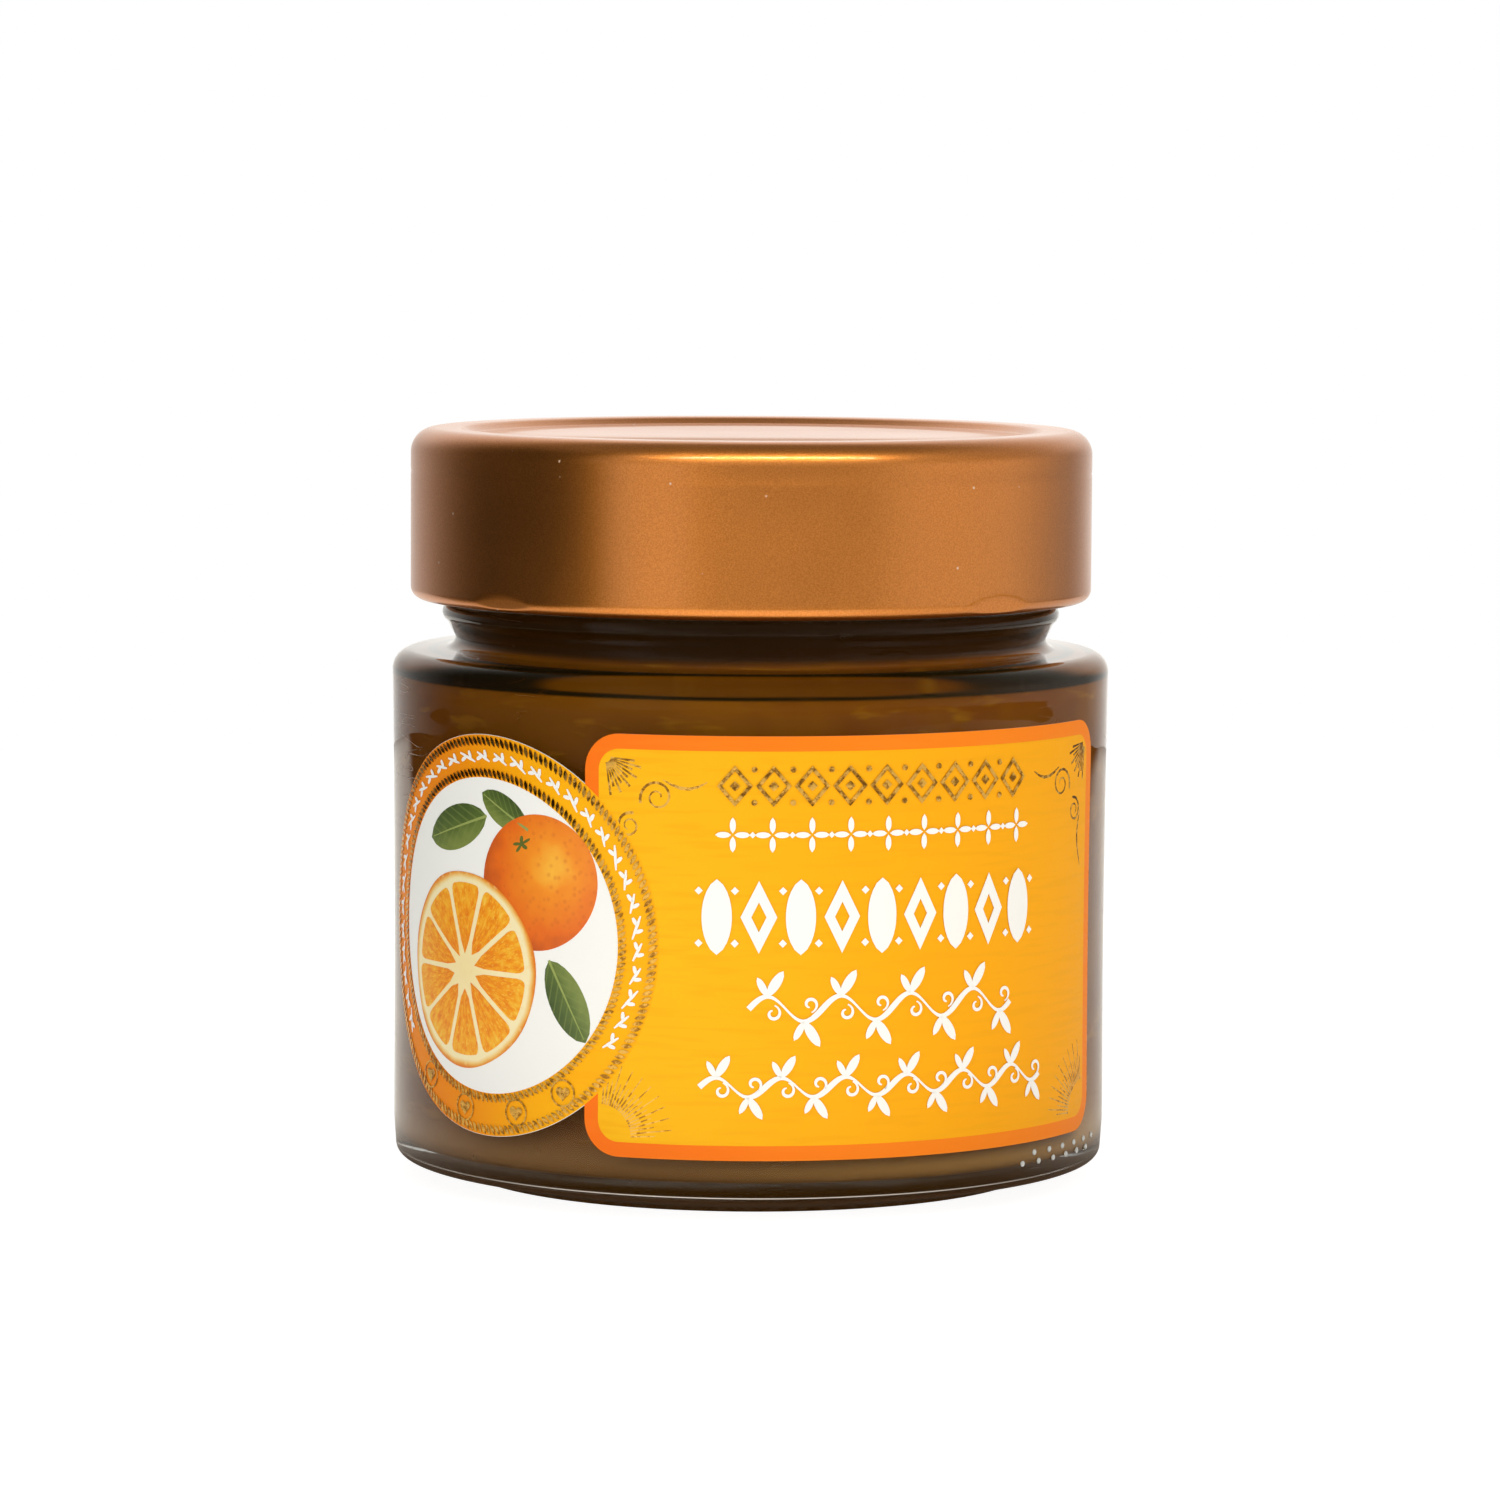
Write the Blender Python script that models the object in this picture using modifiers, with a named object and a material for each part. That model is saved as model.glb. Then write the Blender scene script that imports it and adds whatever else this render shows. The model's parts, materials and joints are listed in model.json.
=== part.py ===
"""A shut jar of marmalade: clear glass jar, copper twist-off lid, orange marmalade and a paper label.

Metres, +Z up. The origin is the centre of the base and the label faces -Y.
"""
import math

import bmesh
import bpy
from mathutils import Vector

# Smoothness of the round pieces: facets of 5 degrees round the axis
TURN_STEPS = 72
FACET_ANGLE = 2.0 * math.pi / TURN_STEPS
MERGE_DISTANCE = 0.00001
GAP = 0.0003

# Glass jar, outside
PANEL_RADIUS = 0.03835
SHOULDER_RADIUS = 0.03855
PANEL_BOTTOM = 0.0060
PANEL_TOP = 0.0506
SHOULDER_TANGENT = 0.0541
SHOULDER_CORNER = 0.0022
SHOULDER_DROP = 0.0002
NECK_RADIUS = 0.0318
NECK_FILLET = 0.0012
BEAD_RADIUS = 0.0010
BEAD_HEIGHT = 0.0603
BEAD_REACH = 0.0332
FINISH_RADIUS = 0.0330
FINISH_BOTTOM = 0.0618
RIM_TOP = 0.0792
RIM_ROUND = 0.0011
HEEL_RADIUS = 0.03815
HEEL_ROUND = 0.0012
HEEL_HEIGHT = 0.0029
FOOT_SLOPE_RADIUS = 0.0330
FOOT_SLOPE_HEIGHT = 0.0007
FOOT_OUTER_RADIUS = 0.0309
FOOT_INNER_RADIUS = 0.0293
PUSH_UP_RADIUS = 0.0278
PUSH_UP_HEIGHT = 0.0014
PUSH_UP_CENTRE = 0.0022

# Glass jar, inside
WALL = 0.0027
FLOOR_CENTRE = 0.0045
FLOOR_EDGE = 0.0039
FLOOR_ROUND = 0.0018
INNER_SHOULDER_TANGENT = 0.0515
INNER_SHOULDER_ROUND = 0.0022
BORE_RADIUS = 0.0295
BORE_FILLET = 0.0015
BORE_TOP = 0.0740

# Lid
LID_RADIUS = 0.0366
LID_TOP = 0.0800
LID_SHEET = 0.0005
LID_CORNER = 0.0026
LEDGE_INNER_RADIUS = 0.0312
PANEL_SLOPE_RADIUS = 0.0300
PANEL_DEPTH = 0.0008
CURL_ROUND = 0.00125
CURL_HEIGHT = 0.0630
CURL_TOP = 0.0644

# Pressed flats over the lid's four lugs
LUG_AZIMUTHS = (45.0, 135.0, 225.0, 315.0)
LUG_TOP = 0.0637
LUG_TILT = math.radians(15.0)
LUG_CUTTER_SIZE = (0.004, 0.016, 0.007)

# Marmalade
FILL_HEIGHT = 0.0680

# Label, measured along the glass from the front and up from the base
LABEL_PAPER = 0.00015
SHEET_LEFT = -0.0174
SHEET_RIGHT = 0.0465
SHEET_BOTTOM = 0.0065
SHEET_TOP = 0.0502
SHEET_CORNER = 0.0038
MEDALLION_ALONG = -0.0302
MEDALLION_HEIGHT = 0.02825
MEDALLION_RADIUS = 0.0210

# Base colour, metallic, roughness and transmission of each material
GLASS_LOOK = ((0.88, 0.93, 0.91, 1.0), 0.0, 0.04, 1.0)
LID_LOOK = ((0.60, 0.26, 0.10, 1.0), 1.0, 0.38, 0.0)
MARMALADE_LOOK = ((0.46, 0.17, 0.02, 1.0), 0.0, 0.25, 0.0)
LABEL_LOOK = ((0.95, 0.50, 0.06, 1.0), 0.0, 0.55, 0.0)


def arc(along, height, radius, start, end, steps):
    """Points on an arc about (along, height), from one angle to another in degrees."""
    angles = [math.radians(start + (end - start) * step / steps) for step in range(steps + 1)]
    return [(along + radius * math.cos(a), height + radius * math.sin(a)) for a in angles]


def make_material(name, look):
    """A Principled BSDF material from its colour, metallic, roughness and transmission."""
    colour, metallic, roughness, transmission = look
    material = bpy.data.materials.new(name)
    material.use_nodes = True
    shader = material.node_tree.nodes["Principled BSDF"]
    shader.inputs["Base Color"].default_value = colour
    shader.inputs["Metallic"].default_value = metallic
    shader.inputs["Roughness"].default_value = roughness
    shader.inputs["Transmission Weight"].default_value = transmission
    return material


def turn(name, profile, look, collection):
    """Turn a profile of (radius, height) points about the Z axis into a solid of revolution."""
    mesh = bpy.data.meshes.new(name)
    bm = bmesh.new()
    points = [bm.verts.new((radius, 0.0, height)) for radius, height in profile]
    for first, second in zip(points, points[1:]):
        bm.edges.new((first, second))
    bm.to_mesh(mesh)
    bm.free()
    piece = bpy.data.objects.new(name, mesh)
    collection.objects.link(piece)
    screw = piece.modifiers.new("turn", "SCREW")
    screw.axis = "Z"
    screw.angle = 2.0 * math.pi
    screw.steps = TURN_STEPS
    screw.render_steps = TURN_STEPS
    screw.use_merge_vertices = True
    screw.merge_threshold = MERGE_DISTANCE
    screw.use_smooth_shade = True
    mesh.materials.append(make_material(name, look))
    return piece


def glass_outside():
    """Outside of the jar, from the end of the rim's round down to the centre of the base."""
    bead_centre = BEAD_REACH - BEAD_RADIUS
    corner_centre = SHOULDER_RADIUS - SHOULDER_CORNER
    shoulder_top = SHOULDER_TANGENT + SHOULDER_CORNER
    heel_centre = HEEL_RADIUS - HEEL_ROUND
    fillet_centre = (NECK_RADIUS + NECK_FILLET, shoulder_top + SHOULDER_DROP + NECK_FILLET)
    points = [(FINISH_RADIUS, FINISH_BOTTOM)]
    points += arc(bead_centre, BEAD_HEIGHT, BEAD_RADIUS, 60.0, -60.0, 4)
    points += arc(*fillet_centre, NECK_FILLET, 180.0, 270.0, 3)
    points += arc(corner_centre, SHOULDER_TANGENT, SHOULDER_CORNER, 90.0, 0.0, 5)
    points += [(SHOULDER_RADIUS, PANEL_TOP + 0.5 * SHOULDER_CORNER)]
    points += [(PANEL_RADIUS, PANEL_TOP), (PANEL_RADIUS, PANEL_BOTTOM)]
    points += arc(heel_centre, HEEL_HEIGHT, HEEL_ROUND, 0.0, -90.0, 3)
    points += [(FOOT_SLOPE_RADIUS, FOOT_SLOPE_HEIGHT), (FOOT_OUTER_RADIUS, 0.0), (FOOT_INNER_RADIUS, 0.0)]
    points += [(PUSH_UP_RADIUS, PUSH_UP_HEIGHT), (0.0, PUSH_UP_CENTRE)]
    return points


def cavity(inset, top):
    """Inside of the jar from the centre of its floor up to a height in the neck, drawn in by an inset."""
    wall_radius = PANEL_RADIUS - WALL - inset
    bore = BORE_RADIUS - inset
    shoulder_centre = wall_radius - INNER_SHOULDER_ROUND
    shoulder_top = INNER_SHOULDER_TANGENT + INNER_SHOULDER_ROUND - inset
    points = [(0.0, FLOOR_CENTRE + inset)]
    points += arc(wall_radius - FLOOR_ROUND, FLOOR_EDGE + inset + FLOOR_ROUND, FLOOR_ROUND, -90.0, 0.0, 3)
    points += arc(shoulder_centre, shoulder_top - INNER_SHOULDER_ROUND, INNER_SHOULDER_ROUND, 0.0, 90.0, 3)
    points += arc(bore + BORE_FILLET, shoulder_top + BORE_FILLET, BORE_FILLET, 270.0, 180.0, 2)
    points += [(bore, top)]
    return points


def build_glass_jar(collection):
    """The open glass jar, with its rim, transfer bead, flat shoulder, heel and push-up base."""
    rim_centre = FINISH_RADIUS - RIM_ROUND
    profile = cavity(0.0, BORE_TOP)
    profile += arc(rim_centre, RIM_TOP - RIM_ROUND, RIM_ROUND, 180.0, 0.0, 4)
    profile += glass_outside()
    return turn("glass_jar", profile, GLASS_LOOK, collection)


def build_marmalade(collection):
    """The set marmalade that fills the jar up into its neck."""
    profile = cavity(GAP, FILL_HEIGHT)
    profile.append((0.0, FILL_HEIGHT))
    profile.reverse()
    return turn("marmalade", profile, MARMALADE_LOOK, collection)


def build_lug_cutters(collection):
    """One slanted box over each lug, whose inner face slopes in towards the lid's lower edge."""
    cutters = []
    depth, width, height = LUG_CUTTER_SIZE
    outward = Vector((math.cos(LUG_TILT), 0.0, -math.sin(LUG_TILT)))
    centre = Vector((LID_RADIUS, 0.0, LUG_TOP)) + 0.5 * depth * outward
    for azimuth in LUG_AZIMUTHS:
        turn_angle = math.radians(azimuth)
        mesh = bpy.data.meshes.new("lug_cutter")
        bm = bmesh.new()
        bmesh.ops.create_cube(bm, size=1.0)
        bmesh.ops.scale(bm, vec=(depth, width, height), verts=bm.verts)
        bm.to_mesh(mesh)
        bm.free()
        cutter = bpy.data.objects.new(f"lug_cutter_{azimuth:.0f}", mesh)
        place = (centre.x * math.cos(turn_angle), centre.x * math.sin(turn_angle), centre.z)
        cutter.location = place
        cutter.rotation_euler = (0.0, LUG_TILT, turn_angle)
        cutter.hide_render = True
        cutter.display_type = "WIRE"
        collection.objects.link(cutter)
        cutters.append(cutter)
    return cutters


def build_lid(collection, cutters):
    """The sheet-metal lid: sunk panel, flat ledge, rounded corner, skirt and curled lower edge."""
    panel_top = LID_TOP - PANEL_DEPTH
    corner_centre = (LID_RADIUS - LID_CORNER, LID_TOP - LID_CORNER)
    curl_centre = (LID_RADIUS - CURL_ROUND, CURL_HEIGHT)
    inner_skirt = LID_RADIUS - LID_SHEET
    under_panel = panel_top - LID_SHEET
    profile = [(0.0, panel_top), (PANEL_SLOPE_RADIUS, panel_top), (LEDGE_INNER_RADIUS, LID_TOP)]
    profile += arc(*corner_centre, LID_CORNER, 90.0, 0.0, 4)
    profile += arc(*curl_centre, CURL_ROUND, 0.0, -180.0, 6)
    profile += [(curl_centre[0], CURL_TOP), (inner_skirt, CURL_TOP)]
    profile += arc(*corner_centre, LID_CORNER - LID_SHEET, 0.0, 90.0, 3)
    profile += [(LEDGE_INNER_RADIUS, LID_TOP - LID_SHEET), (PANEL_SLOPE_RADIUS, under_panel), (0.0, under_panel)]
    lid = turn("lid", profile, LID_LOOK, collection)
    for cutter in cutters:
        cut = lid.modifiers.new(cutter.name, "BOOLEAN")
        cut.operation = "DIFFERENCE"
        cut.object = cutter
    return lid


def label_outline():
    """Outline of the die-cut label: a round-cornered sheet with a round medallion at its left edge."""
    left, right = SHEET_LEFT + SHEET_CORNER, SHEET_RIGHT - SHEET_CORNER
    bottom, top = SHEET_BOTTOM + SHEET_CORNER, SHEET_TOP - SHEET_CORNER
    reach = math.degrees(math.acos((SHEET_LEFT - MEDALLION_ALONG) / MEDALLION_RADIUS))
    points = arc(left, bottom, SHEET_CORNER, 180.0, 270.0, 4)
    points += arc(right, bottom, SHEET_CORNER, 270.0, 360.0, 4)
    points += arc(right, top, SHEET_CORNER, 0.0, 90.0, 4)
    points += arc(left, top, SHEET_CORNER, 90.0, 180.0, 4)
    points += arc(MEDALLION_ALONG, MEDALLION_HEIGHT, MEDALLION_RADIUS, reach, 360.0 - reach, 28)
    return points


def make_flat_label():
    """The label lying flat in the XY plane as a welded mesh, made from its filled outline."""
    curve = bpy.data.curves.new("label_outline", "CURVE")
    curve.dimensions = "2D"
    curve.fill_mode = "BOTH"
    curve.extrude = 0.5 * LABEL_PAPER
    outline = label_outline()
    spline = curve.splines.new("POLY")
    spline.points.add(len(outline) - 1)
    for point, (along, height) in zip(spline.points, outline):
        point.co = (along, height, 0.0, 1.0)
    spline.use_cyclic_u = True
    flat = bpy.data.objects.new("label_outline", curve)
    bpy.context.scene.collection.objects.link(flat)
    bpy.context.view_layer.update()
    mesh = bpy.data.meshes.new_from_object(flat.evaluated_get(bpy.context.evaluated_depsgraph_get()))
    bpy.data.objects.remove(flat)
    bpy.data.curves.remove(curve)
    return mesh


def build_label(collection):
    """The paper label, cut across at every facet of the glass and wrapped round it."""
    inner_radius = PANEL_RADIUS + GAP
    mesh = make_flat_label()
    mesh.name = "label"
    bm = bmesh.new()
    bm.from_mesh(mesh)
    bmesh.ops.remove_doubles(bm, verts=bm.verts, dist=MERGE_DISTANCE)
    bmesh.ops.dissolve_limit(bm, angle_limit=math.radians(0.5), verts=bm.verts, edges=bm.edges)
    bmesh.ops.recalc_face_normals(bm, faces=bm.faces)
    facet_width = FACET_ANGLE * inner_radius
    first = math.ceil((MEDALLION_ALONG - MEDALLION_RADIUS) / facet_width)
    last = math.floor(SHEET_RIGHT / facet_width)
    for facet in range(first, last + 1):
        everything = bm.verts[:] + bm.edges[:] + bm.faces[:]
        bmesh.ops.bisect_plane(bm, geom=everything, plane_co=(facet * facet_width, 0.0, 0.0),
                               plane_no=(1.0, 0.0, 0.0))
    bmesh.ops.triangulate(bm, faces=bm.faces)
    for vert in bm.verts:
        angle = vert.co.x / inner_radius
        radius = inner_radius + 0.5 * LABEL_PAPER + vert.co.z
        vert.co = (radius * math.sin(angle), -radius * math.cos(angle), vert.co.y)
    bm.to_mesh(mesh)
    bm.free()
    mesh.shade_smooth()
    mesh.set_sharp_from_angle(angle=math.radians(40.0))
    mesh.materials.clear()
    mesh.materials.append(make_material("label", LABEL_LOOK))
    label = bpy.data.objects.new("label", mesh)
    collection.objects.link(label)
    return label


def new_collection(name):
    """A new collection in the scene."""
    collection = bpy.data.collections.new(name)
    bpy.context.scene.collection.children.link(collection)
    return collection


def main():
    """Clear the scene and build the jar's four pieces."""
    for old in list(bpy.data.objects):
        bpy.data.objects.remove(old, do_unlink=True)
    pieces = new_collection("marmalade_jar")
    cutters = build_lug_cutters(new_collection("cutters"))
    build_glass_jar(pieces)
    build_lid(pieces, cutters)
    build_marmalade(pieces)
    build_label(pieces)


main()
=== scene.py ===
"""A shut glass jar of orange marmalade with a copper lid and a wrapped paper label, dressed for the studio.

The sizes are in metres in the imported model's frame: Z runs up the jar's axis, the base is at height 0 and the
front faces -Y. The label is drawn flat, along the glass from the front and up from the base, then wrapped.
"""
import json
import logging
import math
import random
from dataclasses import dataclass
from enum import Enum
from typing import Callable, Sequence

import bmesh
import bpy
from mathutils import Matrix, Vector

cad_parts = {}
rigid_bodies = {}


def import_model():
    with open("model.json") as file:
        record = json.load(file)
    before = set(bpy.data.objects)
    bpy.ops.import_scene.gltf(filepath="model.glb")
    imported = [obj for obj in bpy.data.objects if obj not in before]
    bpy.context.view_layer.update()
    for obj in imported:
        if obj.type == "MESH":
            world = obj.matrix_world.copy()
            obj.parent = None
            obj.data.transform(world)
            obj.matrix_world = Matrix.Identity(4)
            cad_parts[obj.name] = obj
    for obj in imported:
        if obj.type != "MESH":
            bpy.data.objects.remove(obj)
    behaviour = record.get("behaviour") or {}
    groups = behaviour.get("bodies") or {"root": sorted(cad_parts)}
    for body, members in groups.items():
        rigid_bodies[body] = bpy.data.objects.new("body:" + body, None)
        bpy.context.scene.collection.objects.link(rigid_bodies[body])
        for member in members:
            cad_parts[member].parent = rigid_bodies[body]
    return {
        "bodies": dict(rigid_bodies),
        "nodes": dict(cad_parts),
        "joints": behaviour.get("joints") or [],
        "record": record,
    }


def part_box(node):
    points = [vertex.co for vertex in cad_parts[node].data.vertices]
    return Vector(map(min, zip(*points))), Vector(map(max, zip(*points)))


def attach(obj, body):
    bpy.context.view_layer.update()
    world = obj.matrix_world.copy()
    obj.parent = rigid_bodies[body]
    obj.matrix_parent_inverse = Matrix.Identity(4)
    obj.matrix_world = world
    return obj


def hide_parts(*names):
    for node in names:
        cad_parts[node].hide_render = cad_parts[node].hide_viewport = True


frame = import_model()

LOG = logging.getLogger("marmalade_jar")
Point = tuple[float, float]
Colour = tuple[float, float, float, float]
Socket = bpy.types.NodeSocket
BLACK: Colour = (0.0, 0.0, 0.0, 1.0)
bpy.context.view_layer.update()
MERGE = 0.000001


def paint(red: int, green: int, blue: int) -> Colour:
    """Return the linear colour of an 8-bit screen colour.

    Args:
        red: Red value from 0 to 255.
        green: Green value from 0 to 255.
        blue: Blue value from 0 to 255.

    Returns:
        Linear red, green and blue with an alpha of 1.
    """
    def linear(value: int) -> float:
        """Return one channel's linear value."""
        share = value / 255.0
        return share / 12.92 if share <= 0.04045 else ((share + 0.055) / 1.055) ** 2.4
    return linear(red), linear(green), linear(blue), 1.0


def arc(along: float, height: float, radius: float, start: float, end: float, steps: int) -> list[Point]:
    """Return points on an arc.

    Args:
        along: Horizontal place of the centre.
        height: Height of the centre.
        radius: Radius of the arc.
        start: First angle in degrees.
        end: Last angle in degrees.
        steps: Number of chords.

    Returns:
        The points from start to end.
    """
    angles = [math.radians(start + (end - start) * step / steps) for step in range(steps + 1)]
    return [(along + radius * math.cos(a), height + radius * math.sin(a)) for a in angles]


def around(azimuth: float, radius: float, height: float) -> Vector:
    """Return the place at an azimuth in degrees from the front, a radius and a height."""
    angle = math.radians(azimuth)
    return Vector((radius * math.sin(angle), -radius * math.cos(angle), height))


class Slot(Enum):
    """The record's material slots."""

    GLASS = "glass"
    LID = "copper_lacquer"
    MARMALADE = "marmalade"
    LABEL = "label_paper"


class Layer(Enum):
    """Height of each printed layer's face above the glass, in metres."""

    PAPER = 0.000080
    BORDER = 0.000095
    FIELD = 0.000110
    CORNER = 0.000118
    RING = 0.000125
    DISC = 0.000140
    PICTURE_BACK = 0.000155
    PICTURE_MIDDLE = 0.000170
    PICTURE_FRONT = 0.000185
    PICTURE_TOP = 0.000200
    ORNAMENT = 0.000215
    FOIL = 0.000225


class NodeSketch:
    """Shorthand for laying out the nodes of a material, a group or a world."""

    def __init__(self, tree: bpy.types.NodeTree) -> None:
        """Keep the tree that is drawn in."""
        self.tree = tree

    def add(self, kind: str, **values: object) -> bpy.types.Node:
        """Add a node and set its properties and input values.

        Args:
            kind: The node's type name.
            **values: Properties, or input values with spaces in the name as underscores.

        Returns:
            The new node.
        """
        node = self.tree.nodes.new(kind)
        for name, value in values.items():
            if name in node.bl_rna.properties:
                setattr(node, name, value)
            else:
                self.feed(node.inputs[name.replace("_", " ")], value)
        return node

    def feed(self, socket: Socket, value: object) -> None:
        """Link a socket to another socket, or set its value.

        Args:
            socket: The socket that is fed.
            value: Another socket, or a plain value.
        """
        if isinstance(value, Socket):
            self.tree.links.new(value, socket)
        else:
            socket.default_value = value

    def place(self) -> Socket:
        """Return the piece's own coordinates."""
        return self.add("ShaderNodeTexCoord").outputs["Object"]

    def stretched(self, scale: tuple[float, float, float], vector: Socket) -> Socket:
        """Return a vector scaled along each axis."""
        return self.add("ShaderNodeMapping", Vector=vector, Scale=scale).outputs["Vector"]

    def noise(self, vector: Socket, scale: float, detail: float = 3.0) -> Socket:
        """Return a noise value at a scale."""
        return self.add("ShaderNodeTexNoise", Vector=vector, Scale=scale, Detail=detail).outputs["Fac"]

    def remap(self, value: Socket, low: float, high: float, to_low: float = 0.0,
              to_high: float = 1.0) -> Socket:
        """Return a value moved smoothly from one range to another and held at its ends."""
        node = self.add("ShaderNodeMapRange", interpolation_type="SMOOTHSTEP", Value=value, From_Min=low,
                        From_Max=high, To_Min=to_low, To_Max=to_high)
        return node.outputs["Result"]

    def math(self, operation: str, first: object, second: object = 0.0) -> Socket:
        """Work out a sum on two values.

        Args:
            operation: Blender's name for the sum.
            first: The first value, or a socket.
            second: The second value, or a socket.

        Returns:
            The result.
        """
        node = self.add("ShaderNodeMath", operation=operation)
        self.feed(node.inputs[0], first)
        self.feed(node.inputs[1], second)
        return node.outputs["Value"]

    def scaled(self, value: Socket, factor: object) -> Socket:
        """Return a value times a factor."""
        return self.math("MULTIPLY", value, factor)

    def wander(self, value: Socket, noise: Socket, amount: float) -> Socket:
        """Return a value that a noise moves up and down by half an amount."""
        return self.math("ADD", value, self.scaled(self.math("SUBTRACT", noise, 0.5), amount))

    def length(self, vector: Socket) -> Socket:
        """Return the length of a vector."""
        node = self.add("ShaderNodeVectorMath", operation="LENGTH")
        self.feed(node.inputs[0], vector)
        return node.outputs["Value"]

    def blend(self, share: object, first: object, second: object, mode: str = "MIX") -> Socket:
        """Mix two colours.

        Args:
            share: How much of the second colour shows.
            first: The first colour, or a socket.
            second: The second colour, or a socket.
            mode: Blender's name for the way that they mix.

        Returns:
            The mixed colour.
        """
        node = self.add("ShaderNodeMix", data_type="RGBA", blend_type=mode)
        self.feed(node.inputs[0], share)
        self.feed(node.inputs[6], first)
        self.feed(node.inputs[7], second)
        return node.outputs[2]

    def ramp(self, value: Socket, stops: Sequence[tuple[float, Colour]]) -> Socket:
        """Look up a value on a ramp of colours.

        Args:
            value: Where on the ramp, from 0 to 1.
            stops: Each stop's place and colour, in order.

        Returns:
            The colour at the value.
        """
        node = self.add("ShaderNodeValToRGB")
        self.feed(node.inputs["Fac"], value)
        elements = node.color_ramp.elements
        for index, (place, colour) in enumerate((stops[0], stops[-1], *stops[1:-1])):
            element = elements[index] if index < 2 else elements.new(place)
            element.position = place
            element.color = colour
        return node.outputs["Color"]

    def bump(self, height: Socket, strength: float, distance: float) -> Socket:
        """Return normals bumped by a height, with the distance in metres."""
        node = self.add("ShaderNodeBump", Height=height, Strength=strength, Distance=distance)
        return node.outputs["Normal"]


class EffectGroup(Enum):
    """Shader effects that several materials use, each a node group with one value out."""

    SPECKLE = "fine_speckle"
    DUST = "dust_specks"
    SCRATCHES = "fine_scratches"


class EffectKit:
    """Builds each shared effect's node group once and places it in materials."""

    def __init__(self) -> None:
        """Build the groups."""
        self.groups = {
            EffectGroup.SPECKLE: self._speckle(),
            EffectGroup.DUST: self._dust(),
            EffectGroup.SCRATCHES: self._scratches(),
        }

    @staticmethod
    def _group(name: str) -> tuple[NodeSketch, Socket, Socket, Socket]:
        """Start a new group.

        Args:
            name: The group's name.

        Returns:
            The sketch, the vector and scale to read, and the value socket to feed.
        """
        tree = bpy.data.node_groups.new(name, "ShaderNodeTree")
        tree.interface.new_socket(name="Vector", in_out="INPUT", socket_type="NodeSocketVector")
        tree.interface.new_socket(name="Scale", in_out="INPUT", socket_type="NodeSocketFloat")
        tree.interface.new_socket(name="Value", in_out="OUTPUT", socket_type="NodeSocketFloat")
        entry = tree.nodes.new("NodeGroupInput")
        result = tree.nodes.new("NodeGroupOutput")
        return NodeSketch(tree), entry.outputs["Vector"], entry.outputs["Scale"], result.inputs["Value"]

    def _speckle(self) -> bpy.types.NodeTree:
        """Build a fine two-scale grain.

        Returns:
            The group, whose value lies about 0.5.
        """
        sketch, vector, scale, result = self._group(EffectGroup.SPECKLE.value)
        coarse = sketch.add("ShaderNodeTexNoise", Vector=vector, Scale=scale, Detail=2.0)
        finer = sketch.math("MULTIPLY", scale, 2.7)
        fine = sketch.add("ShaderNodeTexNoise", Vector=vector, Scale=finer, Detail=1.0)
        total = sketch.math("ADD", coarse.outputs["Fac"], fine.outputs["Fac"])
        sketch.feed(result, sketch.scaled(total, 0.5))
        return sketch.tree

    def _dust(self) -> bpy.types.NodeTree:
        """Build small round specks, of which a few are kept.

        Returns:
            The group, whose value is 1 on a speck.
        """
        sketch, vector, scale, result = self._group(EffectGroup.DUST.value)
        cells = sketch.add("ShaderNodeTexVoronoi", Vector=vector, Scale=scale, Randomness=1.0)
        spot = sketch.remap(cells.outputs["Distance"], 0.11, 0.05)
        keep = sketch.add("ShaderNodeSeparateColor", Color=cells.outputs["Color"]).outputs["Red"]
        kept = sketch.remap(keep, 0.90, 0.94)
        sketch.feed(result, sketch.scaled(spot, kept))
        return sketch.tree

    def _scratches(self) -> bpy.types.NodeTree:
        """Build thin wandering hairline scratches, thinned out by a broad noise.

        Returns:
            The group, whose value is 1 on a scratch.
        """
        sketch, vector, scale, result = self._group(EffectGroup.SCRATCHES.value)
        lines = []
        for turn, stretch in ((0.35, (1.0, 1.0, 7.0)), (-0.9, (1.0, 1.0, 5.0))):
            mapped = sketch.add("ShaderNodeMapping", Vector=vector, Rotation=(turn, turn, 0.0), Scale=stretch)
            veins = sketch.add("ShaderNodeTexNoise", Vector=mapped.outputs["Vector"], Scale=scale, Detail=1.0)
            off = sketch.math("ABSOLUTE", sketch.math("SUBTRACT", veins.outputs["Fac"], 0.5))
            lines.append(sketch.remap(off, 0.0035, 0.0))
        gate = sketch.add("ShaderNodeTexNoise", Vector=vector, Scale=scale, Detail=2.0)
        shown = sketch.remap(gate.outputs["Fac"], 0.56, 0.66)
        either = sketch.math("MAXIMUM", lines[0], lines[1])
        sketch.feed(result, sketch.scaled(either, shown))
        return sketch.tree

    def use(self, sketch: NodeSketch, effect: EffectGroup, vector: Socket,
            scale: float) -> Socket:
        """Place an effect in a material.

        Args:
            sketch: The material's sketch.
            effect: Which effect.
            vector: The coordinates that it reads.
            scale: Its scale in repeats per metre.

        Returns:
            The effect's value.
        """
        node = sketch.add("ShaderNodeGroup", node_tree=self.groups[effect])
        sketch.feed(node.inputs["Vector"], vector)
        node.inputs["Scale"].default_value = scale
        return node.outputs["Value"]


def new_material(name: str) -> tuple[bpy.types.Material, NodeSketch, bpy.types.Node]:
    """Start a material.

    Args:
        name: The material's name.

    Returns:
        The material, the sketch of its nodes and its Principled BSDF.
    """
    material = bpy.data.materials.new(name)
    material.use_nodes = True
    return material, NodeSketch(material.node_tree), material.node_tree.nodes["Principled BSDF"]


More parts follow.
